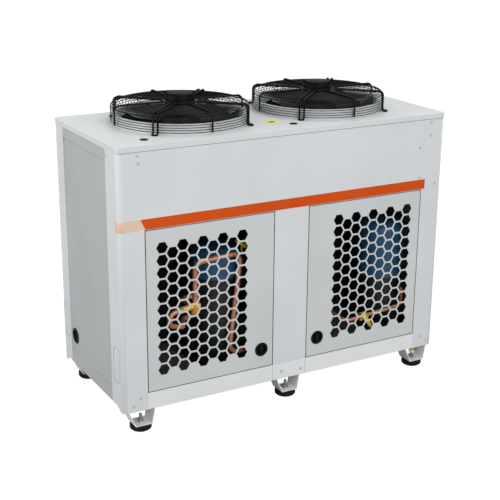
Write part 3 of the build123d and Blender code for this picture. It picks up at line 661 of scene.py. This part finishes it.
# %% Motors
MOTOR_PROFILE = [
    (0, MOTOR_TOP), (MOTOR_R - 20, MOTOR_TOP), (MOTOR_R - 9, MOTOR_TOP - 2), (MOTOR_R - 4, MOTOR_TOP - 7),
    (MOTOR_R - 2, MOTOR_TOP - 14), (MOTOR_R - 2, GUARD_H + 1), (MOTOR_R, GUARD_H - 1), (MOTOR_R, GUARD_H - 9),
    (MOTOR_R - 3, GUARD_H - 10), (MOTOR_R - 3, GUARD_H - 22), (MOTOR_R - 1, GUARD_H - 23),
    (MOTOR_R - 1, MOTOR_FOOT + 3), (MOTOR_R - 4, MOTOR_FOOT), (0, MOTOR_FOOT),
]
RIBS = 24
RIB_HALF = 1.2
GLAND_HALF = 14
GLAND_TURN = math.radians(-135)
mesh = bmesh.new()
for cx, cy, cz in FANS.values():
    lathe(mesh, MOTOR_PROFILE, Vector((cx, cy, cz)) * MM, segments=64)
    top = cz + MOTOR_TOP
    for turn in range(RIBS):
        spin = Matrix.Rotation(2 * math.pi * turn / RIBS, 3, "Z")
        slab(mesh, cx + MOTOR_R - 14, cx + MOTOR_R - 2.5, cy - RIB_HALF, cy + RIB_HALF, top - 10, top - 1,
             spin, (cx, cy, cz))
    slab(mesh, cx + 18, cx + 50, cy - GLAND_HALF, cy + GLAND_HALF, top - 3, top - 0.2,
         Matrix.Rotation(GLAND_TURN, 3, "Z"), (cx, cy, cz))
made = piece("fan_motor_cans", mesh, BLACK_ENAMEL, replaces=["fan_motors"])
print(made.name, len(made.data.polygons), "faces")

# %% [markdown]
# ## Impellers
#
# A coned hub carries five swept blades. A blade is a grid over radius and angle, pitched as the solid is,
# cambered along its chord and given its thickness by a modifier.

# %% Impellers
HUB_PROFILE = [
    (0, 29.0), (58, 29.0), (70, 27.0), (74.5, 22.0), (80, 0), (86, -24), (92, -41), (90, -45), (0, -45),
]
HUB_RIBS = 20
HUB_RIB = [(76.5, 0, 20), (91.5, 0, -38)]
BLADES = 5
BLADE_IN = 70
BLADE_OUT = 247
BLADE_PITCH = math.radians(24)
BLADE_HEIGHT = -12
BLADE_CAMBER = 5.0
BLADE_T = 2.6
TRAILING_EDGE = [(66, -30), (160, -20), (247, -3)]
LEADING_EDGE = [(66, 30), (160, 27), (247, 43)]


def through(points, radius):
    """Angle at a radius on the parabola through three (radius, angle) points."""
    total = 0.0
    for i, (ri, angle) in enumerate(points):
        term = angle
        for j, (rj, other) in enumerate(points):
            if i != j:
                term *= (radius - rj) / (ri - rj)
        total += term
    return total


def blade_grid(mesh, cx, cy, cz, turn, rows=14, columns=10):
    """One blade's surface."""
    spin = Matrix.Rotation(turn, 3, "Z")
    grid = []
    for i in range(rows + 1):
        radius = BLADE_IN + (BLADE_OUT - BLADE_IN) * i / rows
        line = []
        for j in range(columns + 1):
            share = j / columns
            behind = through(TRAILING_EDGE, radius)
            ahead = through(LEADING_EDGE, radius)
            angle = math.radians(behind * (1 - share) + ahead * share)
            across = radius * math.sin(angle)
            camber = BLADE_CAMBER * (1 - (2 * share - 1) ** 2)
            height = BLADE_HEIGHT + across * math.sin(BLADE_PITCH) - camber
            spot = Vector((radius * math.cos(angle), across * math.cos(BLADE_PITCH), height))
            line.append(mesh.verts.new((spin @ spot + Vector((cx, cy, cz))) * MM))
        grid.append(line)
    for low, high in zip(grid, grid[1:]):
        for j in range(columns):
            mesh.faces.new((low[j], low[j + 1], high[j + 1], high[j]))


for side, (cx, cy, cz) in FANS.items():
    mesh = bmesh.new()
    for turn in range(BLADES):
        blade_grid(mesh, cx, cy, cz, turn * 2 * math.pi / BLADES)
    blades = piece(f"fan_blades_{side}", mesh, BLADE_PAINT, body=f"fan_{side}",
                   replaces=[f"fan_impeller_{side}"])
    thick = blades.modifiers.new("thickness", "SOLIDIFY")
    thick.thickness = BLADE_T * MM
    thick.offset = 0
    mesh = bmesh.new()
    lathe(mesh, HUB_PROFILE, Vector((cx, cy, cz)) * MM, segments=72)
    for turn in range(HUB_RIBS):
        spin = Matrix.Rotation(2 * math.pi * turn / HUB_RIBS, 3, "Z")
        rod(mesh, [spin @ Vector(p) + Vector((cx, cy, cz)) for p in HUB_RIB], 1.6, 6)
    hub = piece(f"fan_hub_{side}", mesh, HUB_PAINT, body=f"fan_{side}")
    print(blades.name, hub.name, len(blades.data.polygons), len(hub.data.polygons))

# %% [markdown]
# ## Compressors, receiver and their fittings
#
# Hermetic shells are two drawn cups welded together, so each has a domed top and a seam. Each
# compressor is blue above its own height and dark below it.

# %% Compressors, receiver and their fittings
SHELL_R = 105.0
SHELL_FLOOR = 192.0
SHELL_TOP = 662.0
SHELL_DOME = 40
SHELL_SEAM = 600
SHELLS = {"left": (-250.0, -135.0, 545.0), "right": (580.0, -138.0, 418.0)}
BASE_HALF = 115
BASE_T = 5
TANK_X = 150.0
TANK_R = 74.5
TANK_FLOOR = 197.0
TANK_TOP = 617.0
TANK_DOME = 30
TANK_SEAM = 500
TANK_STEP = 300


def shell_profile(radius, low, high, dome, seam, colour_change):
    """Closed vessel with rounded ends, a welded seam and a step at a given height, where the compressors'
    colour changes.
    """
    points = [(0, low)]
    for step in range(7):
        angle = math.radians(90 * step / 6)
        points.append((radius - dome + dome * math.sin(angle), low + dome - dome * math.cos(angle)))
    points += [(radius + 0.6, colour_change - 1), (radius, colour_change + 1)]
    points += [(radius, seam - 5), (radius + 1.6, seam - 3), (radius + 1.6, seam + 3), (radius, seam + 5)]
    for step in range(7):
        angle = math.radians(90 * step / 6)
        points.append((radius - dome + dome * math.cos(angle), high - dome + dome * math.sin(angle)))
    points.append((0, high))
    return points


mesh = bmesh.new()
for x, y, colour_change in SHELLS.values():
    profile = shell_profile(SHELL_R - 2, SHELL_FLOOR, SHELL_TOP, SHELL_DOME, SHELL_SEAM, colour_change)
    lathe(mesh, profile, Vector((x, y, 0)) * MM, segments=64)
    slab(mesh, x - BASE_HALF, x + BASE_HALF, y - BASE_HALF, y + BASE_HALF, SHELL_FLOOR - BASE_T, SHELL_FLOOR)
made = piece("compressor_cans", mesh, BLUE_ENAMEL, replaces=["compressor_shells"])
made.data.materials.append(DARK_ENAMEL)
for face in made.data.polygons:
    line = SHELLS["left" if face.center.x < 0 else "right"][2]
    face.material_index = int(face.center.z < line * MM)
mesh = bmesh.new()
profile = shell_profile(TANK_R, TANK_FLOOR, TANK_TOP, TANK_DOME, TANK_SEAM, TANK_STEP)
lathe(mesh, profile, Vector((TANK_X, BACK_RUN_Y, 0)) * MM, segments=56)
for turn in range(3):
    spin = Matrix.Rotation(math.radians(30 + 120 * turn), 3, "Z")
    slab(mesh, TANK_X + 40, TANK_X + 46, BACK_RUN_Y - 15, BACK_RUN_Y + 15, TANK_FLOOR - 30, TANK_FLOOR + 29,
         spin, (TANK_X, BACK_RUN_Y, 0))
tank = piece("receiver_tank", mesh, DARK_ENAMEL, replaces=["liquid_receiver"])
print(made.name, tank.name)

# %% [markdown]
# ## Copper pipes and valves
#
# The pipes follow the solids' corner points, rounded as a bender rounds them.

# %% Copper pipes and valves
LOOP_R = 10.2
LOOP_Y = -260.0
VALVE_X = -404.0
VALVE_Z = 455.0
PIPE_SIDES = 14
LOOP_LOW = 232
LOOP_CORNER = (-196, LOOP_Y, 657)
LOOP = [
    (VALVE_X, LOOP_Y, VALVE_Z + 20), (VALVE_X, LOOP_Y, 645), LOOP_CORNER, (-252, LOOP_Y, LOOP_LOW),
    (-100, LOOP_Y, LOOP_LOW), (-100, BACK_RUN_Y, LOOP_LOW), (74, BACK_RUN_Y, LOOP_LOW),
]
UPWARD = Vector((0, 0, 1))
ALONG = Vector((1, 0, 0.06))
SLEEVE_HALF = 12
SLEEVES = [((VALVE_X, LOOP_Y, 500), UPWARD), ((VALVE_X + 30, LOOP_Y, 646.6), ALONG),
           ((-214, LOOP_Y, 520), UPWARD)]
mesh = bmesh.new()
rod(mesh, softened(LOOP, 34, 8), LOOP_R, PIPE_SIDES)
for place, direction in SLEEVES:
    reach = direction * SLEEVE_HALF
    rod(mesh, [Vector(place) - reach, Vector(place) + reach], LOOP_R + 1.4, PIPE_SIDES)
made = piece("discharge_loop", mesh, COPPER, replaces=["copper_loop"])

LIQUID_R = 8.4
LIQUID_Y = -258
LIQUID_Z = 262
RISER_X = 618
RISER_TOP = 360
LIQUID = [
    (226, BACK_RUN_Y, LIQUID_Z), (326, BACK_RUN_Y, LIQUID_Z), (326, LIQUID_Y, LIQUID_Z),
    (RISER_X, LIQUID_Y, 286), (RISER_X, LIQUID_Y, RISER_TOP), (RISER_X, LIQUID_Y + 20, RISER_TOP),
]
mesh = bmesh.new()
rod(mesh, softened(LIQUID, 24, 8), LIQUID_R, PIPE_SIDES)
line = piece("liquid_pipe", mesh, COPPER, replaces=["liquid_line"])

VALVE_PROFILE = [(0, -20), (15, -20), (18, -17), (18, 2), (14, 5), (14, 12), (16.5, 13), (16.5, 20), (0, 20)]
mesh = bmesh.new()
lathe(mesh, VALVE_PROFILE, Vector((VALVE_X, LOOP_Y, VALVE_Z)) * MM, segments=24)
rod(mesh, [(VALVE_X - 58, LOOP_Y, VALVE_Z + 4), (VALVE_X + 19, LOOP_Y, VALVE_Z + 12)], 13.0, 20)
valve = piece("angle_valve_body", mesh, BRASS, replaces=["angle_valve"])
mesh = bmesh.new()
lying = Matrix.Translation((VALVE_X - 80, LOOP_Y, VALVE_Z + 2)) @ Matrix.Rotation(math.radians(90), 4, "Y")
prism(mesh, circle_points(15.0, 6), -2.0, 20.0, lying)
nut = piece("angle_valve_nut", mesh, NICKEL, bevel=1.0)
SHELL_Y = SHELLS["left"][1]
BRANCH_Z = 372
BRANCH = [
    (VALVE_X - 60, LOOP_Y, VALVE_Z + 2), (VALVE_X - 110, LOOP_Y, VALVE_Z - 6), (VALVE_X - 114, LOOP_Y, 400),
    (VALVE_X - 40, LOOP_Y + 30, BRANCH_Z), (VALVE_X - 4, LOOP_Y + 110, BRANCH_Z), (-345, SHELL_Y, BRANCH_Z),
]
INLET = [(VALVE_X, LOOP_Y + 8, VALVE_Z), (VALVE_X, SHELL_Y, VALVE_Z), (-354, SHELL_Y, VALVE_Z)]
mesh = bmesh.new()
rod(mesh, softened(BRANCH, 26, 8), LOOP_R, PIPE_SIDES)
rod(mesh, softened(INLET, 30, 8), LOOP_R, PIPE_SIDES)
branch = piece("angle_valve_branch", mesh, COPPER)
print(made.name, line.name, valve.name, nut.name, branch.name)

PORT_R = 4.0
CAP_R = 9.0
x, y, z = LOOP_CORNER
mesh = bmesh.new()
rod(mesh, [(x, y, z - 1), (x, y - 2, z + 29)], PORT_R, 12)
port = piece("service_port", mesh, COPPER)
mesh = bmesh.new()
rod(mesh, [(x + 20, y - 2, z + 23), (x - 23, y - 2, z + 54)], CAP_R, 20)
cap = piece("service_port_cap", mesh, GREEN_CAP, bevel=1.5)
print(port.name, cap.name)

# %% [markdown]
# ## Valve lever
#
# A pressed lever dipped in yellow vinyl, leaning as it was left.

# %% Valve lever
LEVER = (412.0, -272.0, 269.07)
LEAN = Matrix.Rotation(math.radians(55), 4, "Y")
GRIP = [(-30, -5), (-26, -8), (-4, -9.5), (14, -9), (50, -7.5), (58, -6), (61.5, -2),
        (61.5, 2), (58, 6), (50, 7.5), (14, 9), (-4, 9.5), (-26, 8), (-30, 5)]
mesh = bmesh.new()
lean = Matrix.Translation(LEVER) @ LEAN @ FACE_ON
prism(mesh, GRIP, 4.4, 8.2, lean)
prism(mesh, circle_points(5.0, 6), 8.2, 12.2, lean)
made = piece("valve_lever_grip", mesh, YELLOW_PLASTIC, body="liquid_valve_handle", replaces=["valve_lever"],
             bevel=0.8)
print(made.name)

# %% [markdown]
# ## Doors' latches and pins
#
# A latch is a moulded cup let into the door, with a wing for the fingers and a cam behind.

# %% Doors' latches and pins
CUP = [(0, -11), (22.5, -11), (22.5, 0.4), (24, 1.6), (27.5, 2.2), (29.4, 1.6), (30, 0.2), (24.5, 0.0),
       (24.5, -13), (0, -13)]
WING = [(-4, -18), (-2, -20), (2, -20), (4, -18), (4, -9), (7, -6), (7, 6), (4, 9),
        (4, 18), (2, 20), (-2, 20), (-4, 18), (-4, 9), (-7, 6), (-7, -6), (-4, -9)]
CAM = [(-8, -8), (8, -8), (8, 40), (5, 46), (-5, 46), (-8, 40)]
PIN_R = 4
for side, sign in (("left", -1), ("right", 1)):
    mesh = bmesh.new()
    middle = Vector((sign * LATCH_X, FRONT, LATCH_Z))
    lathe(mesh, CUP, middle * MM, FACE_ON.to_3x3(), 48)
    for low, high in HINGE_PINS:
        pin = [(0, low), (PIN_R - 0.4, low), (PIN_R, low + 1),
               (PIN_R, high - 1), (PIN_R - 0.4, high), (0, high)]
        lathe(mesh, pin, Vector((sign * HINGE_X, HINGE_Y, 0)) * MM, segments=20)
    cup = piece(f"latch_cup_{side}", mesh, BLACK_PLASTIC, body=f"door_{side}",
                replaces=[f"door_hardware_{side}"])
    mesh = bmesh.new()
    place = Matrix.Translation(middle) @ FACE_ON
    prism(mesh, WING, -10.6, -0.2, place)
    prism(mesh, circle_points(6.0, 24), -27.0, -10.0, place)
    prism(mesh, CAM, -26.3, -23.4, place)
    turner = piece(f"latch_wing_{side}", mesh, BLACK_PLASTIC, body=f"latch_{side}",
                   replaces=[f"latch_turner_{side}"], bevel=0.6)
    print(cup.name, turner.name)

# %% [markdown]
# ## Feet, studs and bushes
#
# The pads are ribbed rubber, the studs are threaded, and one stud keeps a yellow lock nut at its top. The
# bushes line the pipe exit and the deck's cable holes.

# %% Feet, studs and bushes
FEET = [(x + STUD_SHIFT, y) for x in (-LEG_X, 0.0, LEG_X) for y in (-LEG_Y, LEG_Y)]
FRONT_RIGHT = 4
FOOT = [(0, 0), (36, 0), (38.5, 1.5), (43, 6), (44, 9), (44, 12), (41.5, 14), (41.5, 16), (44, 18), (44, 23),
        (41, 26.6), (12, 27), (0, 27)]
mesh = bmesh.new()
for x, y in FEET:
    lathe(mesh, FOOT, Vector((x, y, 0)) * MM, segments=48)
feet = piece("foot_pads", mesh, RUBBER, replaces=["rubber_feet"])

THREAD_PITCH = 1.6
STUD = [(0, 64), (4.6, 64), (5.8, 62.6)]
for level in range(14):
    drop = THREAD_PITCH * level
    STUD += [(5.0, 61.6 - drop), (5.9, 60.8 - drop)]
STUD += [(5.9, 30), (0, 30)]
mesh = bmesh.new()
for x, y in FEET:
    lathe(mesh, STUD, Vector((x, y, 0)) * MM, segments=20)
    lathe(mesh, [(6, 30), (13, 30), (13, 32), (6, 32)], Vector((x, y, 0)) * MM, segments=32)
    prism(mesh, circle_points(10.9, 6), 32, 40, Matrix.Translation((x, y, 0)))
studs = piece("foot_studs", mesh, ZINC, replaces=["leg_bolts"])
mesh = bmesh.new()
prism(mesh, circle_points(14.0, 6), 53, 67, Matrix.Translation((*FEET[FRONT_RIGHT], 0)))
lock = piece("leg_lock_nut", mesh, PASSIVATED, bevel=1.2)

EXIT_BUSH = [(24, -6), (24, 2.0), (25, 3.0), (31, 3.0), (34, 1.5), (34, 0), (28.7, 0), (28.7, -5),
             (27, -6), (24, -6)]
CABLE_BUSH = [(0, 2.4), (8, 2.4), (9.5, 3.0), (13.5, 3.0), (16, 1.6), (16, 0), (12, 0), (12, -4.8), (0, -5)]
mesh = bmesh.new()
lathe(mesh, EXIT_BUSH, Vector(EXIT_BORE) * MM, SIDE_ON.to_3x3(), 48)
for cx, cy, cz in FANS.values():
    lathe(mesh, CABLE_BUSH, Vector((cx + GROMMET_X, cy + GROMMET_Y, cz)) * MM, segments=40)
bushes = piece("bushes", mesh, RUBBER, replaces=["rubber_bushes"])
print(feet.name, studs.name, lock.name, bushes.name)

# %% [markdown]
# ## Coil fins
#
# The coil's back is a wall of thin upright fins over a darker core, so real fins stand on its face.

# %% Coil fins
FIN_PITCH = 4.0
FIN_HALF = 0.25
FIN_FOOT = 168
FIN_TOP = 1096
FIN_DEPTHS = [(306.0, 312.6), (246.8, 250.0)]
COIL_W = 1270
mesh = bmesh.new()
fins = int(COIL_W / FIN_PITCH)
for i in range(fins + 1):
    x = COIL_W * i / fins - COIL_W / 2
    for near, far in FIN_DEPTHS:
        slab(mesh, x - FIN_HALF, x + FIN_HALF, near, far, FIN_FOOT, FIN_TOP)
made = piece("coil_fins", mesh, FINS)
print(made.name, fins, "fins")

# %% [markdown]
# ## Knock-outs, joint lines and the lip's painted shadow
#
# An obround knock-out is a punched line that holds by its tags, so what the eye sees is a thin dark
# outline. The middle post's edges run on as fine lines down the base rail, and a dark strip along the
# foot of the deck's lip is painted shadow.

# %% Knock-outs, joint lines and the lip's painted shadow
KNOCKOUT_Z = 285.0
KNOCKOUT_W = 60.0
KNOCKOUT_H = 152.0
KNOCKOUTS = [-265.7, 277.7]
PUNCH_R = 0.9
LIP_HALF = 735


def obround(width, height, steps=10):
    """Points of an upright obround about its middle."""
    radius = width / 2
    straight = height / 2 - radius
    angles = [math.pi * i / steps for i in range(steps + 1)]
    top = [(radius * math.cos(a), straight + radius * math.sin(a)) for a in angles]
    return top + [(-y, -z) for y, z in top]


mesh = bmesh.new()
for sign in (-1, 1):
    for middle in KNOCKOUTS:
        outline = obround(KNOCKOUT_W, KNOCKOUT_H)
        line = [(sign * (SIDE_X - 0.5), middle + y, KNOCKOUT_Z + z) for y, z in outline]
        rod(mesh, line, PUNCH_R, 6, closed=True)
for x in (-CENTRE_HALF, CENTRE_HALF):
    slab(mesh, x - 0.5, x + 0.5, FRONT - 0.15, FRONT + 0.5, RAIL_FOOT, RAIL_TOP)
# Painted shadow: a dark strip along the foot of the deck's lip.
slab(mesh, -LIP_HALF, LIP_HALF, FRONT - 0.3, FRONT + 0.5, LIP_FOOT - 2.2, LIP_FOOT - 0.2)
made = piece("punched_lines_and_lip_shadow", mesh, SEAM_AND_LIP_SHADOW)
print(made.name, len(made.data.polygons), "faces")

# %% [markdown]
# ## Screw heads
#
# Flanged hexagon heads hold the panels and the leg brackets. Places are in millimetres.

# %% Screw heads
def flanged_head(mesh, place, across):
    """Washer and hexagon head standing off a face."""
    prism(mesh, circle_points(across * 0.86, 20), 0.0, 0.7, place)
    prism(mesh, circle_points(across * 0.55, 6), 0.7, 2.1, place)


FRONT_SCREWS = [(-665, 1114), (-662, 1085), (677, 1115), (678, 1059), (714, 847), (625, 1009), (630, 881)]
LEG_SCREWS = [(-674, 148), (-704, 119), (-36, 128), (58, 122), (688, 144), (723, 119)]
SIDE_SCREWS = [(209, 1103), (-218, 1104)]
HEAD = 8.0
mesh = bmesh.new()
for x, z in FRONT_SCREWS + LEG_SCREWS:
    flanged_head(mesh, Matrix.Translation((x, FRONT, z)) @ FACE_ON, HEAD)
for y, z in SIDE_SCREWS:
    flanged_head(mesh, Matrix.Translation((-SIDE_X, y, z)) @ SIDE_ON, HEAD)
made = piece("panel_screws", mesh, BOLT_HEAD)
print(made.name, len(FRONT_SCREWS + LEG_SCREWS + SIDE_SCREWS), "heads")

# %% [markdown]
# ## The plain patch on the deck
#
# A plain yellow film with a dark bar, faded at one end.

# %% The plain patch on the deck
FILM = 0.2
PATCH_NEAR = -205
PATCH_FAR = -115
PATCH_LEFT = -24
PATCH_FADE = 5
PATCH_RIGHT = 20
PATCH = moulded_plastic("yellow film", "#F2E63C", "#F4EA62", 0.4)
FADED = moulded_plastic("faded yellow film", "#E9E8AC", "#ECEBC0", 0.45)
mesh = bmesh.new()
slab(mesh, PATCH_LEFT, PATCH_FADE, PATCH_NEAR, PATCH_FAR, DECK, DECK + FILM)
made = piece("deck_patch", mesh, PATCH)
mesh = bmesh.new()
slab(mesh, PATCH_FADE, PATCH_RIGHT, PATCH_NEAR, PATCH_FAR, DECK, DECK + FILM)
faded = piece("deck_patch_faded", mesh, FADED)
mesh = bmesh.new()
slab(mesh, -18, 4, -170, -151, DECK + FILM, DECK + 2 * FILM)
bar = piece("deck_patch_bar", mesh, BLACK_PLASTIC)
print(made.name, faded.name, bar.name)

# %% [markdown]
# ## Camera
#
# The place, the turn and the lens come from fitting the cabinet's corners to the photograph.

# %% Camera
PLACE = Vector((-2.214, -3.902, 2.031))
TURN = (29.46, 18.14, 0.51)
LENS = 78.9
SENSOR = 36.0
yaw, pitch, roll = (math.radians(v) for v in TURN)
forward = Vector((math.sin(yaw) * math.cos(pitch), math.cos(yaw) * math.cos(pitch), -math.sin(pitch)))
level_right = Vector((math.cos(yaw), -math.sin(yaw), 0))
level_up = level_right.cross(forward)
right = level_right * math.cos(roll) + level_up * math.sin(roll)
up = level_up * math.cos(roll) - level_right * math.sin(roll)
camera = bpy.data.objects.new("camera", bpy.data.cameras.new("camera"))
bpy.context.scene.collection.objects.link(camera)
camera.matrix_world = Matrix((
    (right.x, up.x, -forward.x, PLACE.x),
    (right.y, up.y, -forward.y, PLACE.y),
    (right.z, up.z, -forward.z, PLACE.z),
    (0, 0, 0, 1),
))
camera.data.lens = LENS
camera.data.sensor_width = SENSOR
camera.data.clip_end = 60
bpy.context.scene.camera = camera
print("camera at", [round(v, 3) for v in camera.location])

# %% [markdown]
# ## Floor and light
#
# The floor is plain and pale. The camera sees it almost white, with the soft shadow kept. A large soft
# lamp lights the front, a smaller one the left side, and one overhead the deck.

# %% Floor and light
FLOOR_GLOW = 1.17
GLOW_SHARE = 0.86
ROOM_LIGHT = 0.6
mesh = bmesh.new()
bmesh.ops.create_grid(mesh, x_segments=1, y_segments=1, size=30)
data = bpy.data.meshes.new("floor")
mesh.to_mesh(data)
mesh.free()
floor = bpy.data.objects.new("floor", data)
bpy.context.scene.collection.objects.link(floor)
floor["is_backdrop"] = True
material, tree, shader = new_surface("pale floor", "#AEAEAE", 0.9, specular=0.1)
glow = add_node(tree, "ShaderNodeEmission", {"Color": (1, 1, 1, 1), "Strength": FLOOR_GLOW})
path = add_node(tree, "ShaderNodeLightPath")
share = between(tree, path.outputs["Is Camera Ray"], 0.0, GLOW_SHARE)
mix = add_node(tree, "ShaderNodeMixShader")
tree.links.new(share, mix.inputs["Fac"])
tree.links.new(shader.outputs["BSDF"], mix.inputs[1])
tree.links.new(glow.outputs["Emission"], mix.inputs[2])
tree.links.new(mix.outputs["Shader"], tree.nodes["Material Output"].inputs["Surface"])
data.materials.append(material)

world = bpy.data.worlds.new("studio")
bpy.context.scene.world = world
world.use_nodes = True
background = world.node_tree.nodes["Background"]
background.inputs["Color"].default_value = (1, 1, 1, 1)
seen = add_node(world.node_tree, "ShaderNodeLightPath")
strength = between(world.node_tree, seen.outputs["Is Camera Ray"], ROOM_LIGHT, 1.0)
world.node_tree.links.new(strength, background.inputs["Strength"])


def soft_light(name, place, target, size, power):
    """Square area light aimed at a point."""
    lamp = bpy.data.lights.new(name, "AREA")
    lamp.size = size
    lamp.energy = power
    made = bpy.data.objects.new(name, lamp)
    bpy.context.scene.collection.objects.link(made)
    made.location = place
    made.rotation_mode = "QUATERNION"
    made.rotation_quaternion = (Vector(target) - Vector(place)).to_track_quat("-Z", "Y")


soft_light("key", (-0.1, -4.9, 3.0), (-0.1, 0, 0.7), 2.8, 105)
soft_light("left fill", (-3.0, 0.2, 1.9), (-0.7, 0, 1.1), 1.6, 31)
soft_light("overhead", (1.3, 0.2, 4.9), (0.2, 0, 1.0), 3.2, 52)
bpy.context.scene.view_settings.view_transform = "Standard"

# %% [markdown]
# ## Measure the size
#
# The bounds of all that is shown, without the floor, are measured.

# %% Measure the size
low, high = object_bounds()
